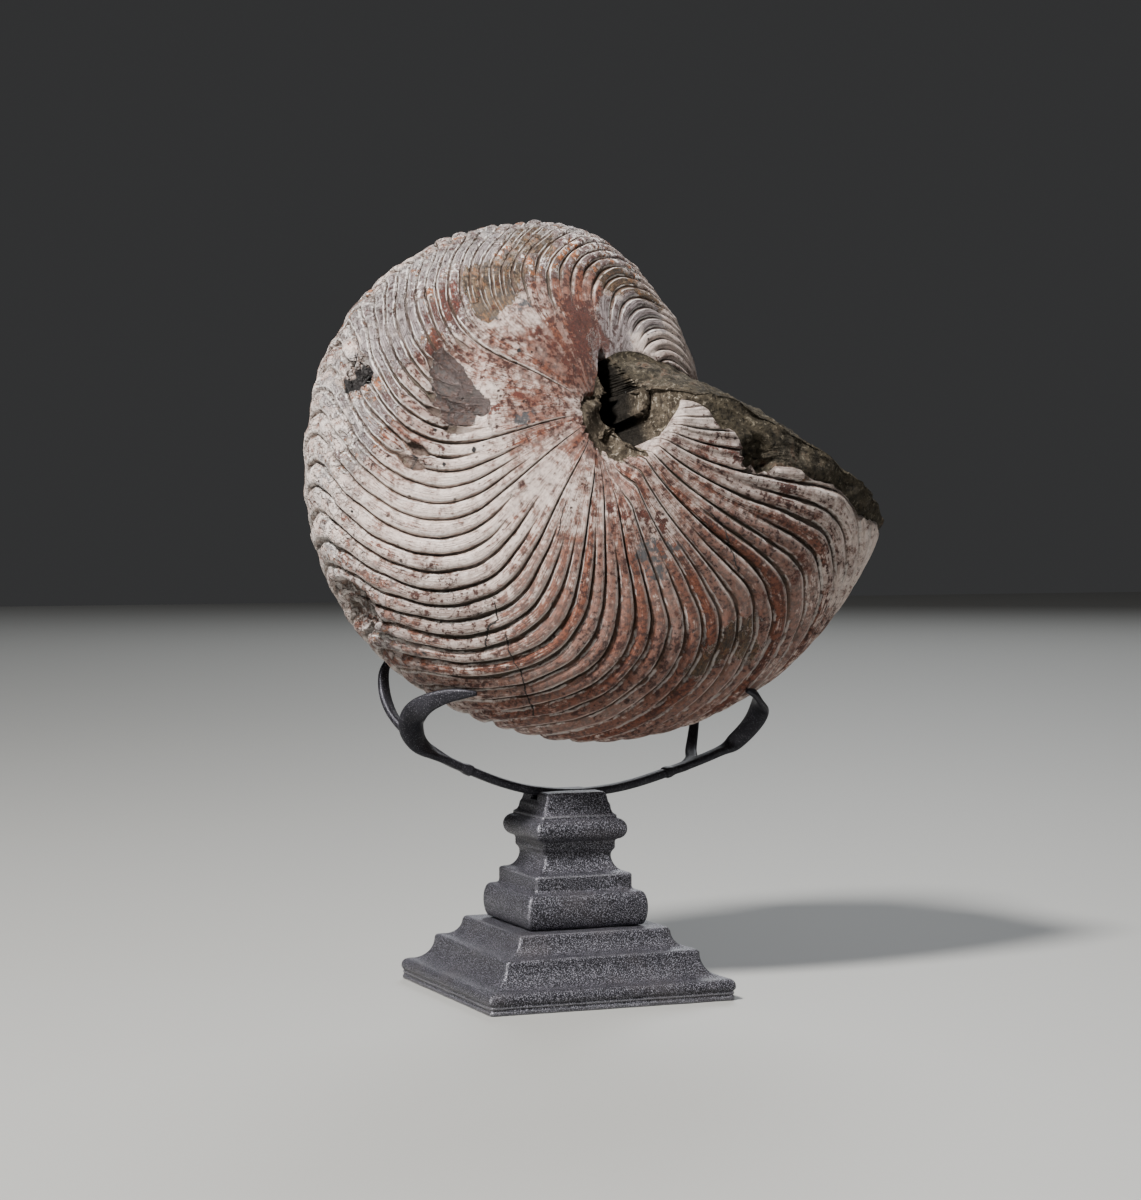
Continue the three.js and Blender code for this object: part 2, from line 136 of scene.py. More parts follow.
# The grid: samples to a rib, rows of stone beside the shell's edge and over the
# broken face, and columns (hole, collar, flank) on the near and the far side.
RIB_SAMPLES = 10
EDGE_ROWS = 56
FACE_ROWS = 84
NEAR_COLUMNS = (9, 8, 58)
FAR_COLUMNS = (4, 4, 32)
WALL_STEP = 0.12  # degrees between the top and the foot of the shell's edge
RIB_CROWDING = 0.72  # how strongly a rib's samples crowd towards its grooves
COLUMN_CROWDING = 1.2  # over 1, the columns crowd towards the hollow
LINE_WAVER = 4  # degrees that a groove wanders
EDGE_JAGS = 5  # degrees that the shell's edge on the stone juts to and fro
FACE_TILT = math.radians(15)  # the way the broken face bulges, from upright
MERGE_DISTANCE = 1e-6
SHELL_WEAR = 0.5 * MM  # shallow unevenness of the whole shell
KEEL_KNOBS = 5 * MM  # knobs on the keel of the early whorl
OLD_KEEL_ANGLES = (245.0, 205.0)  # where the knobs are gone, and where they are full
KNOB_WAVES, WEAR_WAVES = 95.0, 40.0  # to a metre
LUMP_WAVES, CRUMB_WAVES = 90.0, 300.0  # large and small lumps of the stone, to a metre
HOLLOW_CALM = 0.88  # how much smoother the stone is in the hollow

# Broken places on the near flank, and on the far one where the height is over 1:
# angle, height, radius and depth.
BROKEN_PLACES = (
    (163, 0.43, 10 * MM, 2.2 * MM),
    (175, 0.39, 11 * MM, 2.2 * MM),
    (168, 0.76, 6 * MM, 5 * MM),
    (192, 0.54, 5 * MM, 3 * MM),
    (219, 0.97, 12 * MM, 4.5 * MM),
    (341, 0.27, 7 * MM, 4 * MM),
)


class NautilusShellSettings(bpy.types.PropertyGroup):
    """Sizes and colours of the shell and of the stone in it"""

    mouth_radius: bpy.props.FloatProperty(
        name="Mouth Radius", default=0.1296, unit="LENGTH",
        description="From the coiling axis to the keel line at the mouth",
    )
    whorl_growth: bpy.props.FloatProperty(
        name="Whorl Growth", default=2.4, description="Radius gained in one whorl, as a factor",
    )
    half_width: bpy.props.FloatProperty(
        name="Half Width", default=0.55, description="Half breadth of the whorl over its radius",
    )
    rib_pitch: bpy.props.FloatProperty(
        name="Rib Pitch", default=4.68, description="Degrees from one rib to the next",
    )
    groove_depth: bpy.props.FloatProperty(
        name="Groove Depth", default=0.0023, unit="LENGTH",
        description="Depth of the groove between two ribs",
    )
    shell_thickness: bpy.props.FloatProperty(
        name="Shell Thickness", default=0.0013, unit="LENGTH",
        description="Height of the broken shell edge over the stone",
    )
    stone_roughness: bpy.props.FloatProperty(
        name="Stone Roughness", default=0.0016, unit="LENGTH",
        description="How far lumps stand out of the stone",
    )
    hole_radius: bpy.props.FloatProperty(
        name="Hole Radius", default=0.0044, unit="LENGTH",
        description="From the coiling axis to the innermost ring of the shell",
    )
    funnel_foot: bpy.props.FloatProperty(
        name="Funnel Foot", default=0.037, unit="LENGTH",
        description="From the mid plane to the middle of the umbilical hollow",
    )
    slot_floor: bpy.props.FloatProperty(
        name="Slot Floor", default=0.02, unit="LENGTH",
        description="From the mid plane to the floor of the slot in the hollow",
    )
    shoulder: bpy.props.FloatProperty(
        name="Shoulder", default=0.007, unit="LENGTH",
        description="How much wider the ring of stone becomes past the mouth",
    )
    shoulder_drop: bpy.props.FloatProperty(
        name="Shoulder Drop", default=0.011, unit="LENGTH",
        description="How much the stone narrows past the mouth",
    )
    lip_drop: bpy.props.FloatProperty(
        name="Lip Drop", default=0.017, unit="LENGTH",
        description="How much more its last part, over the hollow, narrows",
    )
    face_bulge: bpy.props.FloatProperty(
        name="Face Bulge", default=0.004, unit="LENGTH",
        description="How far the broken face bulges",
    )
    cream: bpy.props.FloatVectorProperty(
        name="Cream", subtype="COLOR", size=4, default=(0.66, 0.54, 0.485, 1), min=0, max=1,
        description="The clean mineralised shell",
    )
    rust: bpy.props.FloatVectorProperty(
        name="Rust", subtype="COLOR", size=4, default=(0.034, 0.0065, 0.004, 1), min=0, max=1,
        description="The red-brown film and flecks",
    )
    groove_brown: bpy.props.FloatVectorProperty(
        name="Groove Brown", subtype="COLOR", size=4, default=(0.042, 0.021, 0.014, 1),
        min=0, max=1, description="The dirt in the grooves",
    )
    stone_olive: bpy.props.FloatVectorProperty(
        name="Stone Olive", subtype="COLOR", size=4, default=(0.064, 0.052, 0.034, 1),
        min=0, max=1, description="The rock that fills the mouth",
    )


# ---------------------------------------------------------------- node wiring


class Wire:
    """A node's output that takes part in sums as a number does."""

    def __init__(self, tree, socket):
        self.tree = tree
        self.socket = socket

    def __add__(self, other):
        return maths("ADD", self, other)

    __radd__ = __add__

    def __sub__(self, other):
        return maths("SUBTRACT", self, other)

    def __rsub__(self, other):
        return maths("SUBTRACT", other, self)

    def __mul__(self, other):
        return maths("MULTIPLY", self, other)

    __rmul__ = __mul__

    def __truediv__(self, other):
        return maths("DIVIDE", self, other)

    def __pow__(self, other):
        return maths("POWER", self, other)


def put(tree, kind, inputs=None, output=0, **properties):
    """Adds a node, fills its inputs with values or wires, and returns one of its outputs."""
    node = tree.nodes.new(kind)
    for name, value in properties.items():
        setattr(node, name, value)
    for key, value in (inputs or {}).items():
        if isinstance(value, Wire):
            tree.links.new(value.socket, node.inputs[key])
        else:
            node.inputs[key].default_value = value
    return Wire(tree, node.outputs[output])


def maths(operation, *values):
    tree = next(value.tree for value in values if isinstance(value, Wire))
    return put(tree, "ShaderNodeMath", dict(enumerate(values)), operation=operation)


def least(a, b):
    return maths("MINIMUM", a, b)


def most(a, b):
    return maths("MAXIMUM", a, b)


def lerp(a, b, share):
    return a + (b - a) * share


def clamped(value):
    return least(most(value, 0.0), 1.0)


def ramp(value, low, high, smooth=True):
    """0 below low and 1 above high, or the other way round where low is the greater."""
    ends = {"Value": value, "From Min": low, "From Max": high}
    shape = "SMOOTHSTEP" if smooth else "LINEAR"
    return put(value.tree, "ShaderNodeMapRange", ends, interpolation_type=shape)


def along(points, x):
    """The value at x of a line through (x, value) points."""
    xs, values = zip(*points)
    low, high = min(values), max(values)
    reach = xs[-1] - xs[0]
    node = x.tree.nodes.new("ShaderNodeFloatCurve")
    x.tree.links.new(((x - xs[0]) / reach).socket, node.inputs["Value"])
    line = node.mapping.curves[0].points
    for at, value in points[1:-1]:
        line.new((at - xs[0]) / reach, (value - low) / (high - low))
    line[0].location.y = (values[0] - low) / (high - low)
    line[len(line) - 1].location.y = (values[-1] - low) / (high - low)
    for point in line:
        point.handle_type = "VECTOR"
    node.mapping.update()
    return Wire(x.tree, node.outputs["Value"]) * (high - low) + low


def noise_at(tree, scale, detail, position, **inputs):
    """Noise of that many waves to a unit of the position, from 0 to 1."""
    values = {"Vector": position, "Scale": scale, "Detail": detail, **inputs}
    return put(tree, "ShaderNodeTexNoise", values)


def kept(tree, geometry, **values):
    """The geometry with these values stored on its points, under their names."""
    for name, value in values.items():
        store = {"Geometry": geometry, "Name": name, "Value": value}
        geometry = put(tree, "GeometryNodeStoreNamedAttribute", store)
    return geometry


def stored(tree, name):
    return put(tree, "GeometryNodeInputNamedAttribute", {"Name": name})


def as_vector(x, y, z):
    tree = next(value.tree for value in (x, y, z) if isinstance(value, Wire))
    return put(tree, "ShaderNodeCombineXYZ", {0: x, 1: y, 2: z})


def vector_maths(operation, *values):
    tree = next(value.tree for value in values if isinstance(value, Wire))
    return put(tree, "ShaderNodeVectorMath", dict(enumerate(values)), operation=operation)


def scaled(vector, factor):
    return put(
        vector.tree, "ShaderNodeVectorMath", {0: vector, "Scale": factor}, operation="SCALE"
    )


def mixed_vector(a, b, share):
    return vector_maths("ADD", a, scaled(vector_maths("SUBTRACT", b, a), share))


# ---------------------------------------------------------------- shell surface


def whorl_radius(sizes, angle):
    turns = (angle - MOUTH_ANGLE) / 360
    return sizes["Mouth Radius"] * sizes["Whorl Growth"] ** turns


def keel_radius(sizes, angle):
    radius = whorl_radius(sizes, angle)
    for middle, span, rise in SWELLINGS:
        radius = radius + rise * ramp(span - maths("ABSOLUTE", angle - middle), 0.0, span)
    return radius


def slot_share(x, z):
    """1 inside the dark slot and 0 outside it."""
    middle_x, middle_z, half_breadth, half_height = SLOT
    rise = z - middle_z
    across = (x - middle_x + rise * SLOT_LEAN) / half_breadth
    upwards = rise / half_height
    return ramp(across * across + upwards * upwards, *SLOT_RIM)


def flank_point(sizes, angle, height, side):
    """The mean surface, without ribs; side is -1 for the flank towards -Y."""
    quarter_turn = height * (math.pi / 2)
    past_mouth = most(angle - MOUTH_ANGLE, 0.0) / (STONE_RIM[0][1] - MOUTH_ANGLE)
    outside_hole = ramp(height, 0.0, HOLE_LIP)
    inner = sizes["Hole Radius"] + sizes["Shoulder"] * past_mouth * outside_hole
    sine = maths("SINE", quarter_turn)
    cosine = most(maths("COSINE", quarter_turn), 0.0)
    reach = inner + (keel_radius(sizes, angle) - inner) * sine**KEEL_FULLNESS
    widest = whorl_radius(sizes, least(angle, float(MOUTH_ANGLE)))
    breadth = sizes["Half Width"] * widest - sizes["Shoulder Drop"] * past_mouth
    breadth = breadth - sizes["Lip Drop"] * ramp(angle, *LIP_ANGLES)
    bulge = breadth * cosine**FLANK_FULLNESS
    turn = maths("RADIANS", angle)
    x = reach * maths("COSINE", turn) + ramp(height, COLLAR[0][1], 0.0) * HOLE_SHIFT
    z = reach * maths("SINE", turn)
    across = x - FUNNEL_PLACE[0]
    upright = (z - FUNNEL_PLACE[1]) / FUNNEL_STRETCH
    from_axis = maths("SQRT", across * across + upright * upright)
    slope = lerp(*FUNNEL_SLOPES, ramp(across, -FUNNEL_BLEND, FUNNEL_BLEND))
    funnel = sizes["Funnel Foot"] + from_axis * slope
    return as_vector(x, side * maths("SMOOTH_MIN", bulge, funnel, CREST_ROUNDING), z)


def rib_sweep(rib_angle, height):
    """How far a rib lies behind its own angle at a height."""
    bend = along(BEND_HEIGHT, rib_angle)
    to_keel = along(KEEL_SWEEP, rib_angle) * ramp(height, bend, 1.0)
    to_hollow = along(HOLLOW_SWEEP, rib_angle) * most(1 - height / bend, 0.0) ** 1.7
    return to_keel * -1 - to_hollow


def rib_relief(sizes, rib_turn, angle, height):
    """Height of a rib over the mean surface, from its groove to its rounded back."""
    tree = rib_turn.tree
    back = maths("FRACT", rib_turn) ** RIB_LEAN
    dome = 1 - maths("ABSOLUTE", back * 2 - 1) ** RIB_SQUARENESS
    number = maths("FLOOR", rib_turn + 0.001)
    groove = maths("FLOOR", rib_turn + 0.5)
    jitter = put(tree, "ShaderNodeTexWhiteNoise", {"W": groove}, noise_dimensions="1D")
    is_even = 1 - maths("FLOORED_MODULO", groove, 2.0)
    is_long = is_even * maths("GREATER_THAN", groove, LATE_GROOVE - 0.5)
    for long_groove in LONG_GROOVES:
        is_long = is_long + maths("COMPARE", groove, float(long_groove), 0.4)
    start = along(EARLY_START, angle) + (jitter - 0.4) * START_SPREAD
    start = lerp(start, LONG_START, is_long)
    ribbed = ramp(height - start, 0.0, GROOVE_FADE)
    uneven = put(tree, "ShaderNodeTexWhiteNoise", {"W": number}, noise_dimensions="1D")
    swell = along(SWELL, angle) + uneven * UNEVEN_RIBS
    deepening = lerp(INNER_DEPTH, 1.0, ramp(height, 0.1, 0.36))
    depth = sizes["Groove Depth"] * ribbed * deepening
    return (dome - RIB_LEVEL) * depth * swell, ribbed


def columns(index):
    """Height and side of each column, from the near hole over the keel to the far hole."""
    near_total = sum(NEAR_COLUMNS)
    is_far = ramp(index, near_total + 0.2, near_total + 0.4, smooth=False)
    from_pole = lerp(index, sum(FAR_COLUMNS) + near_total - index, is_far)
    hole, collar, flank = (
        lerp(near, far, is_far) for near, far in zip(NEAR_COLUMNS, FAR_COLUMNS)
    )
    in_hole = clamped(from_pole / hole)
    in_collar = clamped((from_pole - hole) / collar)
    on_flank = clamped((from_pole - hole - collar) / flank)
    is_collar = ramp(from_pole - hole - collar, 0.6, 0.4, smooth=False)
    side = is_far * 2 - 1
    return from_pole, in_hole, in_collar, on_flank, is_collar, side


SIZE_INPUTS = (
    "Mouth Radius", "Whorl Growth", "Half Width", "Rib Pitch", "Groove Depth",
    "Shell Thickness", "Stone Roughness", "Hole Radius", "Funnel Foot", "Slot Floor",
    "Shoulder", "Shoulder Drop", "Lip Drop", "Face Bulge",
)


def new_tree(name, inputs):
    """A geometry node tree with named number inputs, and its inputs as wires."""
    tree = bpy.data.node_groups.new(name, "GeometryNodeTree")
    tree.interface.new_socket("Geometry", in_out="OUTPUT", socket_type="NodeSocketGeometry")
    for label in inputs:
        tree.interface.new_socket(label, in_out="INPUT", socket_type="NodeSocketFloat")
    entry = tree.nodes.new("NodeGroupInput")
    return tree, {label: Wire(tree, entry.outputs[label]) for label in inputs}


def finish_tree(tree, geometry, materials):
    """Ends a tree in Realize Instances and Set Material; materials is [(material, selection)]."""
    geometry = put(tree, "GeometryNodeRealizeInstances", {"Geometry": geometry})
    for material, selection in materials:
        where = {} if selection is None else {"Selection": selection}
        geometry = put(
            tree, "GeometryNodeSetMaterial", {"Geometry": geometry, "Material": material, **where}
        )
    leave = tree.nodes.new("NodeGroupOutput")
    tree.links.new(geometry.socket, leave.inputs["Geometry"])


def grid_height(rib_angle, side, face_share, in_hole, in_collar, on_flank):
    """Height on the flank; the collar is level for all rows that meet at the stone's foot."""
    ragged = noise_at(side.tree, 1.0, 3.0, as_vector(rib_angle * 0.13, side * 3, 0.0))
    ragged = most(ragged - 0.35, 0.0) * ramp(rib_angle, *RAGGED_ANGLES)
    ragged = 1 + ragged * ramp(rib_angle, *CALM_ANGLES) * RAGGEDNESS
    collar = lerp(along(COLLAR, rib_angle) * ragged, COLLAR[0][1], face_share)
    height = HOLE_LIP * in_hole + (collar - HOLE_LIP) * in_collar
    return height + (1 - collar) * on_flank**COLUMN_CROWDING


def whorl_angles(rib_angle, height, side, on_flank, edge_share, is_past_edge):
    """The angle of each point, and the angle of the stone's foot at its height."""
    tree = side.tree
    waver = noise_at(tree, 1.0, 1.0, as_vector(rib_angle * 0.1, height * 8, side * 5))
    line = rib_angle + rib_sweep(rib_angle, height) + (waver - 0.5) * LINE_WAVER * on_flank
    jagged = noise_at(tree, 1.0, 3.0, as_vector(height * 34, side * 7, 0.0))
    edge = along(SHELL_EDGE, height) + (jagged - 0.5) * EDGE_JAGS * on_flank
    rim = most(along(STONE_RIM, height), edge + WALL_STEP)
    foot = along(STONE_FOOT, height)
    shell_angle = most(least(line, edge), foot)
    stone_angle = lerp(edge + WALL_STEP, rim, edge_share)
    return lerp(shell_angle, stone_angle, is_past_edge), foot


def with_face(sizes, flank, foot_point, height, face_share):
    """The flank; past the stone's rim it goes straight back to the foot, a little bulged."""
    bulge = clamped(height * 1.2) * maths("SINE", face_share * math.pi)
    outwards = as_vector(math.sin(FACE_TILT) * bulge, 0.0, math.cos(FACE_TILT) * bulge)
    face = mixed_vector(flank, foot_point, face_share)
    return vector_maths("ADD", face, scaled(outwards, sizes["Face Bulge"]))


def with_poles(surface, from_pole):
    """Draws each of the two end columns together into one point."""
    off_pole = clamped(from_pole)
    surface = vector_maths("MULTIPLY", surface, as_vector(off_pole, 1.0, off_pole))
    return vector_maths("ADD", surface, as_vector((1 - off_pole) * HOLE_SHIFT, 0.0, 0.0))


def with_slot(sizes, surface, side):
    """Presses the slot into all that lies there, the poles too; also gives where it is."""
    x, y, z = (
        put(surface.tree, "ShaderNodeSeparateXYZ", {0: surface}, output=axis) for axis in "XYZ"
    )
    in_slot = slot_share(x, z)
    proud = maths("ABSOLUTE", y)
    proud = lerp(proud, least(proud, sizes["Slot Floor"]), in_slot)
    return as_vector(x, side * proud, z), in_slot


def with_relief(sizes, geometry):
    """Ribs, and lumps in the stone, stand out along the surface's own normal."""
    tree = geometry.tree
    place = put(tree, "GeometryNodeInputPosition")
    normal = put(tree, "GeometryNodeInputNormal")
    from_keel = maths("ABSOLUTE", stored(tree, "flank_height") - 1)
    old_keel = ramp(stored(tree, "flank_angle"), *OLD_KEEL_ANGLES)
    old_keel = ramp(from_keel, 0.3, 0.08) * old_keel
    wear = (noise_at(tree, WEAR_WAVES, 2.0, place) - 0.5) * SHELL_WEAR
    knobs = (noise_at(tree, KNOB_WAVES, 2.0, place) - 0.5) * old_keel * KEEL_KNOBS
    on_shell = stored(tree, "relief") + wear + knobs
    crumbs = noise_at(tree, CRUMB_WAVES, 3.0, place)
    lumps = noise_at(tree, LUMP_WAVES, 4.0, place) + crumbs * 0.6
    calm = 1 - ramp(from_keel, 0.86, 0.93) * HOLLOW_CALM
    rough = (lumps - 0.8) * sizes["Stone Roughness"] * calm * 3.2
    in_stone = rough - sizes["Shell Thickness"]
    offset = scaled(normal, lerp(on_shell, in_stone, stored(tree, "is_stone")))
    return put(tree, "GeometryNodeSetPosition", {"Geometry": geometry, "Offset": offset})


def fossil_tree(materials):
    """The whole fossil as one grid: rows along the whorl, columns from hole to hole."""
    tree, sizes = new_tree("Ribbed Nautilus", SIZE_INPUTS)
    width = sum(NEAR_COLUMNS) + sum(FAR_COLUMNS) + 1
    rib_rows = RIB_COUNT * RIB_SAMPLES
    rows = rib_rows + 2 + EDGE_ROWS + FACE_ROWS
    plan = {"Size X": 1.0, "Size Y": 1.0, "Vertices X": rows, "Vertices Y": width}
    grid = put(tree, "GeometryNodeMeshGrid", plan)
    index = put(tree, "GeometryNodeInputIndex")
    row = maths("FLOOR", (index + 0.5) / width)
    column = index - row * width
    from_pole, in_hole, in_collar, on_flank, is_collar, side = columns(column)

    # Each rib's samples crowd towards its grooves.
    sample = least(row, float(rib_rows)) / RIB_SAMPLES
    crowd = maths("SINE", sample * (2 * math.pi)) * (RIB_CROWDING / (2 * math.pi))
    rib_turn = sample - crowd
    rib_angle = FIRST_RIB + rib_turn * sizes["Rib Pitch"]
    rib_angle = rib_angle - most(WIDE_RIBS - rib_turn, 0.0) * WIDER_BY
    is_past_edge = ramp(row, rib_rows + 0.4, rib_rows + 0.6, smooth=False)
    edge_share = clamped((row - rib_rows - 1) / EDGE_ROWS)
    face_share = clamped((row - rib_rows - 1 - EDGE_ROWS) / FACE_ROWS)

    height = grid_height(rib_angle, side, face_share, in_hole, in_collar, on_flank)
    angle, foot = whorl_angles(rib_angle, height, side, on_flank, edge_share, is_past_edge)
    flank = flank_point(sizes, angle, height, side)
    foot_point = flank_point(sizes, foot, height, side)
    surface = with_face(sizes, flank, foot_point, height, face_share)
    surface, in_slot = with_slot(sizes, with_poles(surface, from_pole), side)

    relief, ribbed = rib_relief(sizes, rib_turn, angle, height)
    flank_height = lerp(height, 2 - height, (side + 1) / 2)
    geometry = kept(
        tree, grid, rib_turn=rib_turn, flank_angle=angle, flank_height=flank_height,
        ribbed=ribbed, relief=relief, is_stone=most(is_past_edge, is_collar),
        face_share=face_share, in_slot=in_slot,
    )
    for step, inputs in (
        ("GeometryNodeSetPosition", {"Position": surface}),
        ("GeometryNodeMergeByDistance", {"Distance": MERGE_DISTANCE}),
        ("GeometryNodeFlipFaces", {}),
    ):
        geometry = put(tree, step, {0: geometry, **inputs})
    geometry = with_relief(sizes, geometry)
    geometry = put(tree, "GeometryNodeSetShadeSmooth", {"Geometry": geometry})

    shell, rock = materials
    half_stone = maths("GREATER_THAN", stored(tree, "is_stone"), 0.5)
    finish_tree(tree, geometry, [(shell, None), (rock, half_stone)])
    return tree


def evaluated_mesh(name, tree, values):
    """The plain mesh that a tree makes with these inputs."""
    carrier = bpy.data.objects.new(name, bpy.data.meshes.new(name))
    bpy.context.scene.collection.objects.link(carrier)
    modifier = carrier.modifiers.new("Shape", "NODES")
    modifier.node_group = tree
    for item in tree.interface.items_tree:
        if item.in_out == "INPUT" and item.name in values:
            modifier[item.identifier] = values[item.name]
    bpy.context.view_layer.update()
    depsgraph = bpy.context.evaluated_depsgraph_get()
    mesh = bpy.data.meshes.new_from_object(carrier.evaluated_get(depsgraph))
    carrier.modifiers.remove(modifier)
    old = carrier.data
    carrier.data = mesh
    bpy.data.meshes.remove(old)
    mesh.name = name
    return carrier


# ---------------------------------------------------------------- finishes


def new_material(name, roughness):
    material = bpy.data.materials.new(name)
    material.use_nodes = True
    shader = material.node_tree.nodes["Principled BSDF"]
    shader.inputs["Roughness"].default_value = roughness
    return material, material.node_tree, shader


def painted(tree, name):
    """A weight or measure that was stored on the mesh."""
    return put(tree, "ShaderNodeAttribute", output="Fac", attribute_name=name)


def object_place(tree):
    return put(tree, "ShaderNodeTexCoord", output="Object")


def mixed(below, above, share):
    """Colour `above` laid over colour `below`."""
    node = share.tree.nodes.new("ShaderNodeMix")
    node.data_type = "RGBA"
    share.tree.links.new(share.socket, node.inputs["Factor"])
    for socket, colour in ((node.inputs[6], below), (node.inputs[7], above)):
        if isinstance(colour, Wire):
            share.tree.links.new(colour.socket, socket)
        else:
            socket.default_value = colour
    return Wire(share.tree, node.outputs[2])


def dressed(tree, shader, colour, roughness, bump, depth):
    """Plugs colour, roughness and a height field, of that depth in metres, into a shader."""
    tree.links.new(colour.socket, shader.inputs["Base Color"])
    tree.links.new(roughness.socket, shader.inputs["Roughness"])
    normal = put(tree, "ShaderNodeBump", {"Height": bump, "Strength": 1.0, "Distance": depth})
    tree.links.new(normal.socket, shader.inputs["Normal"])


def blotch(weight, grain, edge=0.02):
    """Ragged crisp spots of a grain; none where the weight is 0, nearly all where it is 1."""
    edges = lerp(0.7, 0.36, weight)
    return ramp(grain, edges, edges + edge)


def rimmed(mask):
    """The line along the edge of a mask."""
    return mask * (1 - mask) * 4


def streak(line, angle, height, width, grain):
    """A fine line down the flank through (height, angle) points."""
    off = maths("ABSOLUTE", angle - along(line, height) + (grain - 0.5) * 3)
    first, last = line[0][0], line[-1][0]
    inside = ramp(height, first, first + 0.01) * ramp(height, last, last - 0.01)
    return ramp(off, width, width * 0.4) * inside


# Colours of the clean shell, of what lies on it or shows through it, and of painted highlights and
# shade.
DULL_CREAM = (0.34, 0.255, 0.225, 1)
CHALK = (0.86, 0.80, 0.75, 1)
PALE_CREAM = (0.80, 0.74, 0.69, 1)
GREY_BROWN = (0.25, 0.19, 0.165, 1)
GROWTH_BROWN = (0.17, 0.115, 0.085, 1)
SCRATCH_BROWN = (0.13, 0.085, 0.065, 1)
FILM_UMBER, FILM_DARK = (0.175, 0.05, 0.022, 1), (0.056, 0.014, 0.007, 1)
HAIRLINE_BROWN = (0.09, 0.055, 0.042, 1)
FLAKE_LILAC, FLAKE_TAN = (0.19, 0.14, 0.142, 1), (0.12, 0.068, 0.036, 1)
FLAKE_ORANGE, FLAKE_MAROON = (0.34, 0.105, 0.03, 1), (0.075, 0.033, 0.03, 1)
FLAKE_WHITE, FLAKE_BLACK = (0.88, 0.84, 0.81, 1), (0.035, 0.02, 0.015, 1)
RESIN_DARK, RESIN_BROWN = (0.018, 0.011, 0.006, 1), (0.145, 0.088, 0.042, 1)
RESIN_ORANGE, RESIN_PALE = (0.34, 0.15, 0.055, 1), (0.36, 0.28, 0.22, 1)
PEARL_DARK, PEARL_LILAC = (0.07, 0.05, 0.05, 1), (0.36, 0.31, 0.315, 1)
# Pearl white is partly a painted highlight.
PEARL_WHITE_AND_HIGHLIGHT = (0.90, 0.87, 0.85, 1)
STAIN_RED, STAIN_ORANGE = (0.12, 0.024, 0.012, 1), (0.13, 0.036, 0.017, 1)
STAIN_BLACK, FLECK_MAROON = (0.02, 0.006, 0.004, 1), (0.05, 0.013, 0.008, 1)
# Worn white and painted highlight along the edges of the ribs.
WORN_WHITE_AND_HIGHLIGHT = (0.88, 0.83, 0.79, 1)
LAYER_EDGE = (0.78, 0.74, 0.70, 1)
BLUE_GREY = (0.075, 0.08, 0.086, 1)
# The wall colour is painted shade on the walls of the grooves.
WALL_SHADE_BROWN, SOIL_OLIVE = (0.13, 0.078, 0.052, 1), (0.075, 0.06, 0.04, 1)
BARE_DARK, BARE_GREY = (0.018, 0.013, 0.012, 1), (0.055, 0.038, 0.036, 1)
BARE_BROWN, BARE_GLINT = (0.06, 0.027, 0.018, 1), (0.17, 0.14, 0.14, 1)
BARE_BLACK, BARE_EDGE = (0.012, 0.008, 0.007, 1), (0.6, 0.55, 0.51, 1)
CRUST_PALE = (0.66, 0.61, 0.58, 1)
# The pit colour is painted shade in the holes.
PIT_SHADE_BLACK, CRACK_BLACK = (0.007, 0.005, 0.005, 1), (0.014, 0.01, 0.008, 1)
PINHOLE_BROWN = (0.05, 0.03, 0.025, 1)
SHELL_BUMP = 1.1 * MM


class ShellGrain:
    """What the looks of the shell are made from: ribs, and noises from broad to fine."""

    def __init__(self, tree):
        self.tree = tree
        self.place = object_place(tree)
        self.height = painted(tree, "flank_height")
        self.ribbed = painted(tree, "ribbed")
        self.film = painted(tree, "film")
        self.broad = noise_at(tree, 28.0, 3.0, self.place)
        self.middle = noise_at(tree, 120.0, 6.0, self.place, Roughness=0.62)
        self.mottle = noise_at(tree, 260.0, 8.0, self.place, Roughness=0.72)
        self.fine = noise_at(tree, 620.0, 4.0, self.place, Roughness=0.65)
        self.grit = noise_at(tree, 1900.0, 2.0, self.place)
        self.turn = painted(tree, "rib_turn")
        self.strand = as_vector(self.turn * 5.5, self.height * 7, self.broad * 2)
        self.growth = noise_at(tree, 2.2, 5.0, self.strand, Roughness=0.68)
        over_rib = maths("FRACT", self.turn)
        self.to_groove = maths("ABSOLUTE", over_rib - 0.5) * 2
        self.mouth_side = ramp(over_rib, 0.62, 0.9) * self.ribbed
        off_ridge = self.to_groove - 0.7 + (self.mottle - 0.5) * 0.5
        self.ridges = ramp(maths("ABSOLUTE", off_ridge), 0.12, 0.05) * self.ribbed


def clean_shell(g, cream):
    """Cream, streaked along its growth and paler along the mouth side of each rib."""
    colour = mixed(cream, DULL_CREAM, ramp(g.broad * 0.6 + g.mottle * 0.4, 0.45, 0.6))
    colour = mixed(colour, CHALK, ramp(g.growth, 0.49, 0.64) * 0.7)
    colour = mixed(colour, GREY_BROWN, ramp(g.mottle, 0.52, 0.66) * 0.6)
    colour = mixed(colour, GROWTH_BROWN, ramp(g.growth, 0.46, 0.32) * 0.75)
    scratches = ramp(noise_at(g.tree, 6.0, 3.0, g.strand, Roughness=0.75), 0.42, 0.35)
    colour = mixed(colour, SCRATCH_BROWN, scratches * ramp(g.middle, 0.45, 0.55) * 0.7)
    return mixed(colour, PALE_CREAM, g.mouth_side * ramp(g.fine, 0.42, 0.6) * 0.4)


def with_film(g, colour):
    """Brown film, from a faint wash to solid brown, rubbed off the mouth side of the ribs; partly
    painted shade on the belly.
    """
    streaked = g.growth * 0.45 + g.mottle * 0.35 + g.fine * 0.2
    wash = ramp(g.film + (streaked - 0.5) * 4.6, 0.28, 0.78) * 0.68
    wash = wash + blotch(g.film, streaked, 0.03) * 0.4
    wash = wash * (1 - g.mouth_side * ramp(g.fine, 0.33, 0.45) * 0.9)
    umber = mixed(FILM_UMBER, FILM_DARK, ramp(g.fine, 0.42, 0.6))
    number = maths("FLOOR", g.turn)
    tone = put(g.tree, "ShaderNodeTexWhiteNoise", {"W": number}, noise_dimensions="1D")
    return mixed(colour, umber, wash * (0.75 + tone * 0.2))


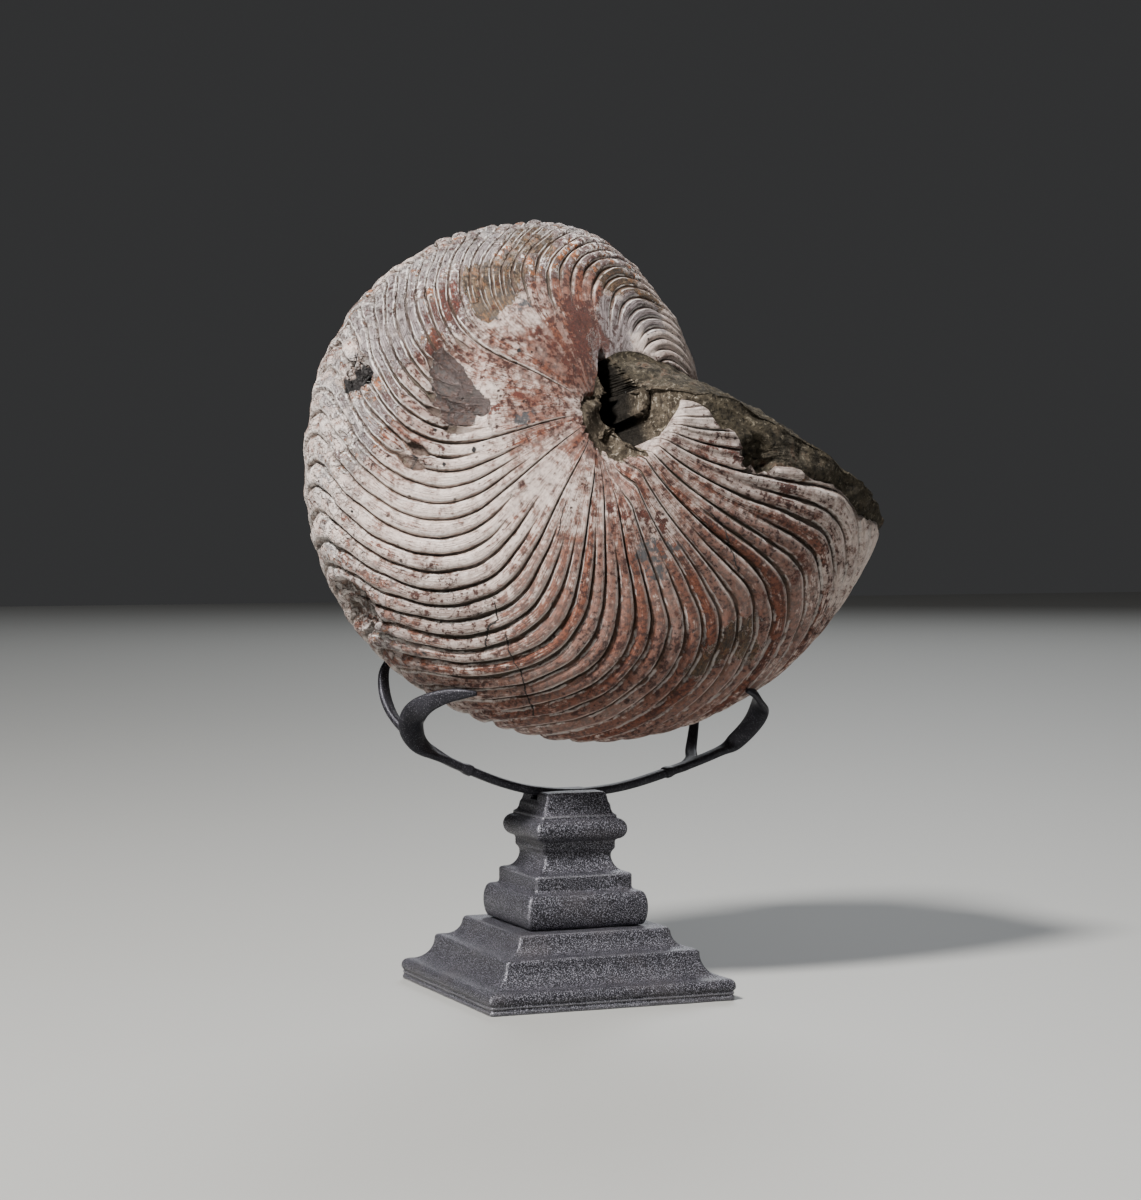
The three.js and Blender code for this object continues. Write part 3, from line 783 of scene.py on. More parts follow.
def with_hairlines(g, colour):
    """Hair cracks between irregular cells."""
    bent = vector_maths("ADD", g.place, scaled(as_vector(g.mottle, g.fine, g.middle), 0.01))
    cells = {"Vector": bent, "Scale": 95.0}
    seam = put(g.tree, "ShaderNodeTexVoronoi", cells, output="Distance", feature="DISTANCE_TO_EDGE")
    hairline = ramp(seam, 0.014, 0.004) * ramp(g.broad * 0.5 + g.middle * 0.5, 0.5, 0.55)
    return mixed(colour, HAIRLINE_BROWN, hairline * 0.7), hairline


def with_flakes(g, colour, hue):
    """Weathered layers: lilac and tan flakes with brown, orange and white ones among them."""
    flaked = blotch(painted(g.tree, "motley") * 1.5, g.middle * 0.5 + g.mottle * 0.5, 0.035)
    flakes = mixed(FLAKE_LILAC, FLAKE_TAN, ramp(hue, 0.5, 0.54))
    flakes = mixed(flakes, FLAKE_ORANGE, ramp(hue, 0.56, 0.58) * 0.85)
    flakes = mixed(flakes, FLAKE_MAROON, ramp(hue, 0.46, 0.43))
    flakes = mixed(flakes, FLAKE_WHITE, ramp(g.fine, 0.545, 0.57) * 0.9)
    flakes = mixed(flakes, FLAKE_BLACK, ramp(g.fine, 0.45, 0.39) * 0.85)
    return mixed(colour, flakes, flaked * 0.9), flaked


def with_amber(g, colour):
    """Ribs of brown, glassy resin colour where the outer layer is gone."""
    amber = blotch(painted(g.tree, "amber") * 1.3, g.middle * 0.4 + g.growth * 0.25 + g.fine * 0.35)
    resin = mixed(RESIN_DARK, RESIN_BROWN, ramp(g.growth * 0.5 + g.fine * 0.5, 0.45, 0.57))
    resin = mixed(resin, RESIN_ORANGE, ramp(g.mottle, 0.54, 0.57) * 0.5)
    resin = mixed(resin, RESIN_PALE, ramp(g.fine, 0.6, 0.62) * 0.3)
    return mixed(colour, resin, amber * 0.93), amber


def with_nacre(g, colour):
    """Worn pearly places, lilac and grey along the growth, worn white and painted with highlights
    along the rib edges.
    """
    nacre = blotch(painted(g.tree, "nacre"), g.middle * 0.6 + g.growth * 0.4)
    pearl = mixed(PEARL_DARK, PEARL_LILAC, ramp(g.growth, 0.42, 0.58))
    # Along the rib edges: worn white and painted highlight.
    pearl = mixed(pearl, PEARL_WHITE_AND_HIGHLIGHT, g.ridges * ramp(g.middle, 0.42, 0.5))
    return mixed(colour, pearl, nacre * 0.92), nacre


def with_stains(g, colour, rust, hue):
    """Red-brown stains in their places, and small maroon flecks in clusters all over."""
    stain = blotch(painted(g.tree, "rust") * 0.9, g.mottle * 0.4 + g.fine * 0.35 + g.growth * 0.25)
    red = mixed(rust, STAIN_RED, ramp(g.grit * 0.5 + g.mottle * 0.5, 0.44, 0.56))
    red = mixed(red, STAIN_ORANGE, ramp(hue * 0.6 + g.fine * 0.4, 0.5, 0.56) * 0.45)
    red = mixed(red, STAIN_BLACK, ramp(g.fine, 0.47, 0.4) * 0.7)
    colour = mixed(colour, red, stain * (0.95 - ramp(g.fine, 0.55, 0.6) * 0.35))
    clusters = ramp(g.broad * 0.6 + g.middle * 0.4 + g.film * 0.1, 0.5, 0.6)
    speckled = g.fine * 0.45 + g.mottle * 0.35 + g.growth * 0.2
    flecks = ramp(speckled + clusters * 0.14, 0.665, 0.68)
    return mixed(colour, FLECK_MAROON, flecks * 0.9), stain, flecks


def with_dirt(g, colour, groove_brown):
    """Dirt in the grooves, wider in some places than in others, and painted shade on the groove
    walls.
    """
    soiled = painted(g.tree, "soil")
    span = 0.89 - soiled * 0.3 + (g.middle - 0.5) * 0.6 + (g.fine - 0.5) * 0.35
    # Painted shade down the walls of the grooves, deeper where the film lies.
    wall = ramp(g.to_groove + (g.mottle - 0.5) * 0.9, 0.55, 1.0) * g.ribbed
    colour = mixed(colour, WALL_SHADE_BROWN, wall * (0.35 + g.film * 0.5))
    gaps = ramp(g.broad * 0.5 + g.middle * 0.5, 0.5, 0.42)
    faded = 1 - gaps * ramp(g.height, 0.3, 0.4) * 0.6
    dirt = ramp(g.to_groove - span, 0.0, 0.1) * g.ribbed * faded
    olive = clamped(ramp(g.mottle, 0.5, 0.62) + soiled * 0.6)
    return mixed(colour, mixed(groove_brown, SOIL_OLIVE, olive), dirt * 0.88), dirt


def with_bare_patch(g, colour):
    """The patch where the shell is gone down to a dark grey layer, with a pale edge."""
    bare = blotch(painted(g.tree, "bare"), 0.3 + g.middle * 0.4)
    grey = mixed(BARE_DARK, BARE_GREY, ramp(g.mottle + g.middle, 0.88, 1.12))
    grey = mixed(grey, BARE_BROWN, ramp(g.broad * 0.4 + g.fine * 0.6, 0.5, 0.58) * 0.8)
    grey = mixed(grey, BARE_GLINT, ramp(g.fine * 0.6 + g.growth * 0.4, 0.56, 0.6) * 0.5)
    grey = mixed(grey, BARE_BLACK, ramp(g.mottle, 0.45, 0.39) * 0.7)
    colour = mixed(colour, BARE_EDGE, rimmed(bare) * 0.8)
    return mixed(colour, grey, bare * 0.96), bare


def with_cracks(g, colour):
    """The long cracks that run across the ribs."""
    angle = painted(g.tree, "flank_angle")
    cracks = streak(CRACKS[0], angle, g.height, 0.3, g.mottle)
    for line in CRACKS[1:]:
        cracks = most(cracks, streak(line, angle, g.height, 0.3, g.mottle))
    return mixed(colour, CRACK_BLACK, cracks), cracks


def with_pinholes(g, colour):
    """Pinholes, scattered in patches."""
    cells = {"Vector": g.place, "Scale": 210.0, "Randomness": 1.0}
    to_hole = put(g.tree, "ShaderNodeTexVoronoi", cells, output="Distance")
    pinhole = ramp(to_hole, 0.14, 0.07) * ramp(g.middle, 0.48, 0.58)
    return mixed(colour, PINHOLE_BROWN, pinhole * 0.9), pinhole


def shell_finish(s):
    """Cream shell with dirt and painted shade in its grooves, rust film, worn nacre, amber ribs,
    pinholes, painted highlights and painted shade in its pits.
    """
    material, tree, shader = new_material("fossil_shell", 0.55)
    g = ShellGrain(tree)
    shifted = vector_maths("ADD", g.place, (0.3, 0.1, 0.2))
    hue = noise_at(tree, 150.0, 4.0, shifted, Roughness=0.7)
    colour = with_film(g, clean_shell(g, s.cream))
    colour, hairline = with_hairlines(g, colour)
    colour, flaked = with_flakes(g, colour, hue)
    colour, amber = with_amber(g, colour)
    colour, nacre = with_nacre(g, colour)
    colour, stain, flecks = with_stains(g, colour, s.rust, hue)

    # The ribs' edges are worn white and painted with highlights, and a gone outer layer leaves a
    # pale broken edge.
    worn_and_highlight_lines = g.ridges * ramp(g.middle, 0.46, 0.54) * (0.5 + flaked * 0.5)
    colour = mixed(colour, WORN_WHITE_AND_HIGHLIGHT, worn_and_highlight_lines)
    layer = most(nacre, amber)
    colour = mixed(colour, LAYER_EDGE, rimmed(layer) * 0.8)
    spots = blotch(painted(tree, "blue"), g.middle * 0.4 + g.fine * 0.6, 0.1)
    colour = mixed(colour, BLUE_GREY, spots * 0.85)
    colour, dirt = with_dirt(g, colour, s.groove_brown)
    colour, bare = with_bare_patch(g, colour)

    # Scaly crust along the keel, then the holes; the pits are painted near black as the shade in
    # them.
    scales = ramp(noise_at(tree, 330.0, 3.0, g.place, Roughness=0.6), 0.44, 0.58)
    crusted = scales * painted(tree, "crust")
    colour = mixed(colour, CRUST_PALE, crusted * 0.55)
    hollow = blotch(painted(tree, "pit_shade"), 0.4 + g.middle * 0.2, 0.06)
    colour = mixed(colour, PIT_SHADE_BLACK, hollow)
    colour, cracks = with_cracks(g, colour)
    colour, pinhole = with_pinholes(g, colour)

    rough = 0.52 + g.fine * 0.3 - nacre * 0.2
    bump = g.growth * 0.7 + g.mottle * 0.75 + g.grit * 0.12 - pinhole - flecks * 0.25 - stain * 0.2
    bump = bump + crusted * 1.6 - cracks * 1.2 - hairline * 0.5 + g.ridges * 0.2
    bump = bump - dirt * 0.8 - layer * 0.55 - bare * 0.3 + hue * flaked
    dressed(tree, shader, colour, rough, bump, SHELL_BUMP)
    return material


STONE_DARK, STONE_GREY = (0.028, 0.023, 0.016, 1), (0.125, 0.108, 0.085, 1)
STONE_RUST, STONE_CRYSTAL = (0.085, 0.038, 0.02, 1), (0.26, 0.225, 0.17, 1)
STONE_CREVICE = (0.009, 0.007, 0.005, 1)
HOLLOW_BROWN, HOLLOW_TAN = (0.045, 0.034, 0.022, 1), (0.12, 0.097, 0.07, 1)
HOLLOW_CRYSTAL, HOLLOW_CREVICE = (0.36, 0.31, 0.25, 1), (0.02, 0.013, 0.009, 1)
# Painted shade in the slot.
SLOT_SHADE_BLACK = (0.006, 0.0045, 0.003, 1)
STONE_BUMP = 1.6 * MM


def stone_finish(s):
    """Olive-grey rock with dark crevices, rusty places and pale crystal flecks; its slot is painted
    shade.
    """
    material, tree, shader = new_material("mouth_stone", 0.85)
    shader.inputs["Specular IOR Level"].default_value = 0.2
    place = object_place(tree)
    broad = noise_at(tree, 35.0, 4.0, place)
    middle = noise_at(tree, 200.0, 7.0, place, Roughness=0.7)
    grit = noise_at(tree, 560.0, 5.0, place, Roughness=0.72)
    colour = mixed(STONE_DARK, s.stone_olive, ramp(middle, 0.38, 0.6))
    colour = mixed(colour, STONE_GREY, ramp(broad, 0.5, 0.66) * ramp(middle, 0.4, 0.6))
    rusty = ramp(broad, 0.52, 0.6) * ramp(middle, 0.52, 0.6)
    colour = mixed(colour, STONE_RUST, rusty * 0.6)
    colour = mixed(colour, STONE_CRYSTAL, ramp(grit, 0.56, 0.63) * 0.55)
    colour = mixed(colour, STONE_CREVICE, ramp(grit, 0.46, 0.38) * 0.85)

    # The hollow is paler, with more crystals, and its slot is painted near black as shade.
    pale = mixed(HOLLOW_BROWN, HOLLOW_TAN, ramp(middle, 0.42, 0.6))
    pale = mixed(pale, HOLLOW_CRYSTAL, ramp(grit, 0.57, 0.61) * 0.7)
    pale = mixed(pale, HOLLOW_CREVICE, ramp(grit, 0.45, 0.39) * 0.85)
    in_funnel = ramp(painted(tree, "flank_height"), 0.16, 0.09)
    colour = mixed(colour, pale, in_funnel * 0.85)
    # Painted shade: the slot is near black nearly up to its rim.
    slot = ramp(painted(tree, "in_slot") + (middle - 0.5) * 0.25, 0.08, 0.3)
    colour = mixed(colour, SLOT_SHADE_BLACK, slot * 0.93)
    bump = middle * 1.1 + grit * 1.1
    dressed(tree, shader, colour, 0.7 + grit * 0.25, bump, STONE_BUMP)
    return material


COAT_BLACK, COAT_BROWN = (0.005, 0.005, 0.007, 1), (0.075, 0.066, 0.07, 1)
# Rubbed metal and painted glints on the sharp edges.
RUBBED_EDGE_AND_GLINT = (0.32, 0.32, 0.345, 1)
FORGED_CLOUD = (0.036, 0.035, 0.044, 1)


def powder_metal_finish(s):
    """Charcoal powder coat with a granular sparkle, rubbed bright on its edges and painted with
    glints there.
    """
    material, tree, shader = new_material("powder_metal", 0.5)
    place = object_place(tree)
    cloud = noise_at(tree, 60.0, 3.0, place)
    grain = noise_at(tree, 2500.0, 3.0, place, Roughness=0.8)
    speck = noise_at(tree, 4200.0, 1.0, place)
    worn = painted(tree, "worn")
    colour = mixed(s.charcoal, s.sparkle, ramp(grain, 0.53, 0.6) * 0.58)
    colour = mixed(colour, COAT_BLACK, ramp(grain, 0.51, 0.44) * 0.96)
    colour = mixed(colour, COAT_BROWN, ramp(cloud, 0.5, 0.75) * 0.35)
    # Sharp convex edges: partly rubbed wear, partly painted glints.
    rubbed = ramp(worn - grain * 0.7, 0.05, 0.35)
    colour = mixed(colour, RUBBED_EDGE_AND_GLINT, rubbed * 0.25)
    shader.inputs["Metallic"].default_value = 0.5
    bump = grain * 0.8 + speck * 0.2
    dressed(tree, shader, colour, 0.5 - rubbed * 0.12 - grain * 0.12, bump, s.grain_depth)
    return material


def forged_metal_finish(s):
    """Smooth dark metal with soft highlights and a few dusty grains."""
    material, tree, shader = new_material("forged_metal", 0.4)
    place = object_place(tree)
    cloud = noise_at(tree, 90.0, 4.0, place)
    grain = noise_at(tree, 3000.0, 2.0, place, Roughness=0.6)
    colour = mixed(s.forged, FORGED_CLOUD, ramp(cloud, 0.45, 0.7) * 0.6)
    colour = mixed(colour, s.sparkle, ramp(grain, 0.58, 0.72) * 0.35)
    shader.inputs["Metallic"].default_value = 0.6
    bump = cloud * 0.4 + grain * 0.35
    dressed(tree, shader, colour, 0.36 + cloud * 0.16 + grain * 0.1, bump, s.grain_depth)
    return material


# ---------------------------------------------------------------- paint


# Where each look lies: (angle, height, radius in mm, strength); a height over 1
# is on the far flank.
PAINT = {
    # The film is real; its places low on the belly, at heights of about 0.8 to 0.95, also darken
    # the underside as painted shade.
    "film": (
        (252, 0.55, 26, 0.25), (268, 0.62, 26, 0.45), (245, 0.4, 18, 0.25), (256, 0.75, 24, 0.35),
        (300, 0.5, 40, 0.4), (325, 0.6, 36, 0.35), (275, 0.4, 26, 0.4), (270, 0.88, 34, 0.35),
        (86, 0.5, 16, 0.5), (96, 0.42, 12, 0.4), (110, 0.8, 30, 0.4), (75, 0.7, 26, 0.5),
        (92, 0.16, 16, 0.8), (108, 0.16, 14, 0.7), (124, 0.17, 12, 0.6), (84, 0.3, 12, 0.6),
        (172, 0.2, 12, 0.6), (192, 0.12, 12, 0.5), (196, 0.22, 12, 0.35), (154, 0.38, 9, 0.6),
        (142, 0.58, 12, 0.6), (160, 0.52, 9, 0.6), (190, 0.6, 14, 0.35), (80, 0.52, 12, 0.55),
        (256, 0.66, 18, 0.3), (268, 0.74, 20, 0.45), (330, 0.45, 18, 0.45), (310, 0.6, 20, 0.55),
        (290, 0.66, 24, 0.5), (305, 0.3, 14, 0.5), (280, 0.44, 16, 0.5), (320, 0.34, 14, 0.5),
        (300, 0.15, 16, 0.4), (322, 0.16, 14, 0.45), (310, 0.25, 14, 0.45), (270, 0.2, 14, 0.4),
        (286, 0.14, 12, 0.4), (120, 0.3, 20, 0.3), (142, 0.28, 18, 0.35), (210, 0.2, 18, 0.3),
        (245, 0.33, 14, 0.5), (232, 0.08, 8, 0.8), (262, 0.12, 12, 0.5), (268, 0.32, 14, 0.8),
        (258, 0.48, 14, 0.6), (243, 0.48, 12, 0.4), (290, 0.38, 16, 0.6), (276, 0.52, 14, 0.55),
        (290, 0.58, 18, 0.8), (284, 0.72, 18, 0.7), (304, 0.42, 14, 0.9), (312, 0.36, 12, 0.75),
        (302, 0.55, 16, 0.8), (321, 0.48, 16, 0.75), (300, 0.72, 18, 0.75), (330, 0.38, 10, 0.45),
        (336, 0.2, 12, 0.45), (318, 0.7, 14, 0.4), (285, 0.88, 24, 0.5), (315, 0.9, 24, 0.45),
        (262, 0.8, 24, 0.4), (240, 0.85, 18, 0.4), (216, 0.88, 18, 0.6), (228, 0.95, 20, 0.7),
        (340, 0.6, 16, 0.25), (180, 0.55, 14, 0.35), (100, 0.5, 14, 0.4), (250, 0.2, 14, 0.3),
        (220, 0.35, 16, 0.25), (205, 0.7, 30, 0.22), (100, 0.95, 40, 0.4), (170, 0.9, 30, 0.35),
        (90, 1.6, 80, 0.5), (180, 1.5, 90, 0.4), (270, 1.5, 110, 0.55), (330, 1.5, 80, 0.65),
    ),
    "rust": (
        (93, 0.3, 8, 0.95), (89, 0.25, 6, 0.8), (97, 0.36, 5, 0.8), (92, 0.17, 10, 0.6),
        (108, 0.17, 10, 0.6), (122, 0.18, 9, 0.5), (84, 0.32, 6, 0.65), (73, 0.24, 4, 0.8),
        (125, 0.28, 7, 0.75), (133, 0.09, 4, 0.6), (174, 0.19, 8, 0.6), (166, 0.25, 7, 0.5),
        (153, 0.37, 5, 0.75), (155, 0.44, 4, 0.7), (179, 0.29, 4, 0.85), (195, 0.14, 8, 0.55),
        (203, 0.24, 7, 0.4), (160, 0.51, 6, 0.9), (155, 0.5, 5, 0.9), (163, 0.57, 5, 0.6),
        (142, 0.54, 7, 0.9), (136, 0.62, 8, 0.85), (147, 0.58, 7, 0.85), (81, 0.46, 5, 0.6),
        (79, 0.56, 5, 0.7), (186, 0.42, 4, 0.5), (172, 0.62, 4, 0.5), (181, 0.6, 4, 0.45),
        (263.5, 0.205, 4.5, 0.85), (272, 0.215, 4, 0.8), (281, 0.215, 4, 0.9), (289, 0.24, 5, 0.85),
        (296, 0.21, 5, 0.55), (227, 0.34, 6, 0.45), (236, 0.25, 5, 0.4), (256, 0.32, 8, 0.4),
        (269, 0.36, 8, 0.55), (293, 0.35, 7, 0.6), (300, 0.32, 6, 0.6), (307, 0.42, 8, 0.55),
        (335, 0.17, 7, 0.8), (338, 0.22, 6, 0.85), (330, 0.28, 6, 0.6), (335, 0.36, 8, 0.85),
        (324, 0.24, 6, 0.5), (325, 0.5, 9, 0.7), (321, 0.42, 7, 0.6), (337, 0.48, 5, 0.6),
        (306, 0.7, 7, 0.95), (309, 0.66, 5, 0.7), (315, 0.77, 7, 0.8), (324, 0.68, 6, 0.7),
        (299, 0.6, 7, 0.5), (293, 0.55, 8, 0.5), (283, 0.58, 8, 0.5), (286, 0.68, 9, 0.55),
        (294, 0.77, 9, 0.7), (279, 0.75, 8, 0.5), (275, 0.5, 8, 0.4), (300, 0.86, 12, 0.7),
        (214, 0.86, 6, 0.5), (231, 0.87, 6, 0.5), (340, 0.66, 6, 0.6), (332, 0.8, 10, 0.6),
        (280, 0.92, 14, 0.5), (318, 0.9, 12, 0.6), (318, 0.55, 12, 0.5), (312, 0.5, 9, 0.55),
        (296, 0.45, 10, 0.5), (287, 0.48, 9, 0.5), (328, 0.4, 9, 0.6), (331, 0.6, 10, 0.5),
        (262, 0.5, 9, 0.45), (250, 0.45, 8, 0.4), (270, 0.62, 10, 0.45), (246, 0.3, 6, 0.4),
        (90, 1.7, 22, 0.6), (150, 1.75, 24, 0.55), (210, 1.5, 24, 0.45), (262, 1.6, 26, 0.5),
        (300, 1.45, 30, 0.55), (330, 1.7, 22, 0.6), (120, 1.4, 18, 0.55),
    ),
    "motley": (
        (98, 0.62, 14, 0.7), (88, 0.72, 16, 0.7), (104, 0.78, 16, 0.7), (116, 0.62, 12, 0.65),
        (128, 0.66, 12, 0.75), (140, 0.6, 12, 0.75), (136, 0.74, 14, 0.7), (150, 0.55, 10, 0.6),
        (158, 0.6, 10, 0.5), (168, 0.66, 10, 0.6), (178, 0.64, 10, 0.6), (184, 0.72, 10, 0.6),
        (172, 0.8, 12, 0.55), (120, 0.8, 16, 0.6), (150, 0.88, 18, 0.5), (75, 0.6, 12, 0.55),
        (66, 0.7, 14, 0.5), (190, 0.85, 14, 0.45), (208, 0.95, 14, 0.45), (226, 0.94, 12, 0.6),
        (110, 0.5, 8, 0.4), (62, 0.5, 12, 0.5), (150, 1.3, 30, 0.5), (90, 1.3, 30, 0.5),
    ),
    "nacre": (
        (150, 0.66, 11, 0.9), (156, 0.72, 11, 0.9), (162, 0.64, 9, 0.85), (147, 0.78, 11, 0.85),
        (165, 0.74, 8, 0.8), (152, 0.84, 12, 0.75), (135, 0.84, 12, 0.8), (125, 0.72, 9, 0.75),
        (118, 0.7, 8, 0.8), (181, 0.71, 9, 0.8), (188, 0.74, 7, 0.6), (176, 0.84, 10, 0.7),
        (190, 0.9, 12, 0.6), (206, 0.93, 10, 0.5), (68, 0.2, 10, 0.95), (70, 0.32, 10, 0.95),
        (64, 0.42, 10, 0.9), (54, 0.5, 9, 0.8), (48, 0.62, 9, 0.6), (118, 0.41, 4, 0.5),
        (160, 0.35, 3, 0.5), (200, 0.55, 4, 0.6), (111, 0.84, 13, 0.7), (90, 0.86, 14, 0.6),
        (168, 0.94, 12, 0.7), (120, 1.3, 18, 0.75), (190, 1.35, 18, 0.6), (70, 1.5, 14, 0.75),
        (240, 1.1, 16, 0.5),
    ),
    "amber": (
        (120, 0.5, 8, 0.9), (127, 0.5, 8, 0.95), (133, 0.48, 6, 0.8), (122, 0.58, 8, 0.9),
        (129, 0.57, 7, 0.85), (101, 0.65, 8, 0.75), (98, 0.72, 8, 0.8), (105, 0.7, 7, 0.75),
        (111, 0.55, 3.5, 0.9), (112, 0.61, 3.5, 0.85), (137, 0.43, 3.5, 0.8), (75, 0.5, 7, 0.85),
        (68, 0.56, 7, 0.8), (60, 0.6, 7, 0.7), (50, 0.66, 7, 0.7), (297, 0.58, 7, 0.7),
        (302, 0.56, 7, 0.8), (292, 0.62, 7, 0.65), (304, 0.64, 7, 0.7), (308, 0.55, 5, 0.5),
        (183, 0.53, 5, 0.4), (341, 0.4, 4, 0.7), (110, 1.4, 12, 0.75), (250, 1.3, 14, 0.6),
    ),
    "blue": (
        (282, 0.29, 6, 0.9), (290, 0.29, 5, 0.85), (285, 0.335, 5.5, 0.95), (278, 0.3, 4, 0.6),
        (294, 0.31, 3.5, 0.6), (183, 0.2, 3.5, 0.6), (186, 0.23, 3.5, 0.7), (160, 0.35, 3, 0.6),
        (118, 0.41, 4.5, 0.7), (123, 0.4, 4, 0.7), (136, 0.4, 4, 0.6),
    ),
    "bare": (
        (159, 0.475, 4, 1), (164, 0.45, 7, 1), (169, 0.42, 8, 1), (174, 0.385, 8, 1),
        (178, 0.36, 5.5, 1), (181, 0.4, 5, 1), (175, 0.44, 5, 0.9), (177, 0.32, 3, 0.8),
    ),
    # Dirt in the grooves; its broad places low on the flank, at angles 232 to 270, also darken it
    # there as painted shade.
    "soil": (
        (311, 0.18, 6, 1), (311, 0.26, 6, 1), (315, 0.35, 7, 1), (318, 0.42, 6, 1),
        (320, 0.5, 6, 0.9), (300, 0.14, 10, 0.6), (325, 0.3, 12, 0.7), (334, 0.42, 10, 0.7),
        (286, 0.2, 14, 0.4), (270, 0.14, 12, 0.5), (330, 0.55, 14, 0.5), (306, 0.5, 16, 0.3),
        (190, 0.4, 10, 0.5), (170, 0.55, 10, 0.5), (106, 0.42, 10, 0.5), (248, 0.58, 20, 0.5),
        (258, 0.7, 22, 0.55), (240, 0.7, 18, 0.5), (232, 0.6, 18, 0.35), (270, 0.85, 22, 0.5),
    ),
    "crust": (
        (215, 0.97, 20, 1), (195, 0.97, 22, 1), (175, 0.9, 18, 1), (160, 0.97, 20, 0.9),
        (138, 0.96, 22, 0.9), (115, 0.93, 22, 0.8), (90, 0.95, 20, 0.7), (70, 0.95, 20, 0.5),
        (184, 0.8, 10, 0.8), (228, 0.95, 16, 0.9), (200, 1.2, 30, 0.6), (140, 1.2, 30, 0.6),
    ),
    # Places of painted shade in the holes.
    "pit_shade": (
        (168.5, 0.755, 7, 1), (171, 0.78, 5, 1), (193, 0.535, 3.6, 1), (195.5, 0.35, 1.8, 1),
        (197, 0.44, 1.6, 1), (186, 0.45, 1.3, 0.9), (201, 0.775, 1.5, 1), (234, 0.81, 1.5, 1),
        (142, 0.275, 1.6, 1), (252, 0.455, 1.4, 1), (284.5, 0.51, 1.8, 1), (219, 0.95, 8, 0.6),
        (226, 1.02, 7, 0.6), (73, 0.235, 1.4, 0.8),
    ),
}

# Cracks across the ribs, as (height, angle) points.
CRACKS = (
    ((0.58, 244.5), (0.64, 249), (0.67, 252.5), (0.73, 255.5), (0.78, 258), (0.83, 260)),
    ((0.26, 311), (0.3, 312.4), (0.34, 311), (0.38, 309.6), (0.42, 309)),
    ((0.52, 237.5), (0.56, 241), (0.6, 240.5), (0.66, 243)),
    ((0.22, 240), (0.26, 241.5), (0.31, 244.8)),
)

# How far a look spreads past its radius, and how fast it fades there.
PAINT_REACH, PAINT_FADE = 1.4, 0.7
# Where the outer layer is gone: the weight at which it starts, and how much lower it lies.
LAYER_START, LAYER_LOSS = 0.45, 0.3 * MM
BREAK_WAVES = 160  # waves to a metre along the ragged rim of a broken place
BREAK_RIM = 0.3  # breadth of that rim, as a share of the place's radius


def stored_values(mesh, name):
    values = np.zeros(len(mesh.vertices), np.float32)
    mesh.attributes[name].data.foreach_get("value", values)
    return values


def points_of(mesh):
    points = np.zeros(len(mesh.vertices) * 3, np.float32)
    mesh.vertices.foreach_get("co", points)
    return points.reshape(-1, 3)


def place_on_shell(mesh, angle, height):
    """The point of the mesh at that angle and height; 60 degrees count as one whole height."""
    off = np.abs(stored_values(mesh, "flank_angle") - angle) / 60
    off += np.abs(stored_values(mesh, "flank_height") - height)
    off += 9 * (stored_values(mesh, "face_share") > 0)
    return points_of(mesh)[int(off.argmin())]


def smooth_falloff(distance, radius):
    """1 at the middle and 0 at the radius."""
    share = np.clip(1 - distance / radius, 0, 1)
    return share * share * (3 - 2 * share)


def add_weight(mesh, name, weights):
    attribute = mesh.attributes.new(name, "FLOAT", "POINT")
    attribute.data.foreach_set("value", weights.astype(np.float32))


def paint_shell(mesh):
    """Stores the weight of each look, from 0 to 1, on the points of the mesh."""
    points = points_of(mesh)
    for name, places in PAINT.items():
        weights = np.zeros(len(points))
        for angle, height, radius, strength in places:
            centre = place_on_shell(mesh, angle, height)
            distance = np.linalg.norm(points - centre, axis=1)
            share = smooth_falloff(distance, PAINT_REACH * radius * MM) ** PAINT_FADE
            weights = 1 - (1 - weights) * (1 - strength * share)
        add_weight(mesh, name, weights)


def break_places(mesh):
    """Presses the broken places into the shell, ribs and all."""
    points = points_of(mesh)
    normals = np.array([vertex.normal for vertex in mesh.vertices])
    relief = stored_values(mesh, "relief") * (stored_values(mesh, "is_stone") < 0.5)
    worn = np.maximum(stored_values(mesh, "nacre"), stored_values(mesh, "amber"))
    worn = 1 - smooth_falloff(np.clip(worn - LAYER_START, 0, 1), 0.2)
    lowered = worn * (LAYER_LOSS + 0.3 * relief)
    for angle, height, radius, depth in BROKEN_PLACES:
        centre = place_on_shell(mesh, angle, height)
        distance = np.linalg.norm(points - centre, axis=1)
        near = np.flatnonzero(distance < 1.5 * radius)
        rim = BREAK_RIM * radius
        ragged = [rim * noise.noise(Vector(points[i]) * BREAK_WAVES) for i in near]
        past_floor = np.maximum(distance[near] + ragged - (1 - BREAK_RIM) * radius, 0)
        share = smooth_falloff(past_floor, rim)
        lowered[near] = np.maximum(lowered[near], share * (depth + relief[near]))
    mesh.vertices.foreach_set("co", (points - normals * lowered[:, None]).ravel())
    mesh.update()


# ---------------------------------------------------------------- the stand


class StandSettings(bpy.types.PropertyGroup):
    """Sizes and colours of the metal stand"""

    arris: bpy.props.FloatProperty(
        name="Arris", default=0.0011, unit="LENGTH", description="Rounding of the cast edges",
    )
    grain_depth: bpy.props.FloatProperty(
        name="Grain Depth", default=0.00022, unit="LENGTH", description="Relief of the powder coat",
    )
    charcoal: bpy.props.FloatVectorProperty(
        name="Charcoal", subtype="COLOR", size=4, default=(0.022, 0.021, 0.03, 1), min=0, max=1,
        description="The powder coat",
    )
    forged: bpy.props.FloatVectorProperty(
        name="Forged", subtype="COLOR", size=4, default=(0.012, 0.0115, 0.016, 1), min=0, max=1,
        description="The smooth dark metal of the cradle",
    )
    sparkle: bpy.props.FloatVectorProperty(
        name="Sparkle", subtype="COLOR", size=4, default=(0.55, 0.54, 0.61, 1), min=0, max=1,
        description="The bright grains in the coat",
    )


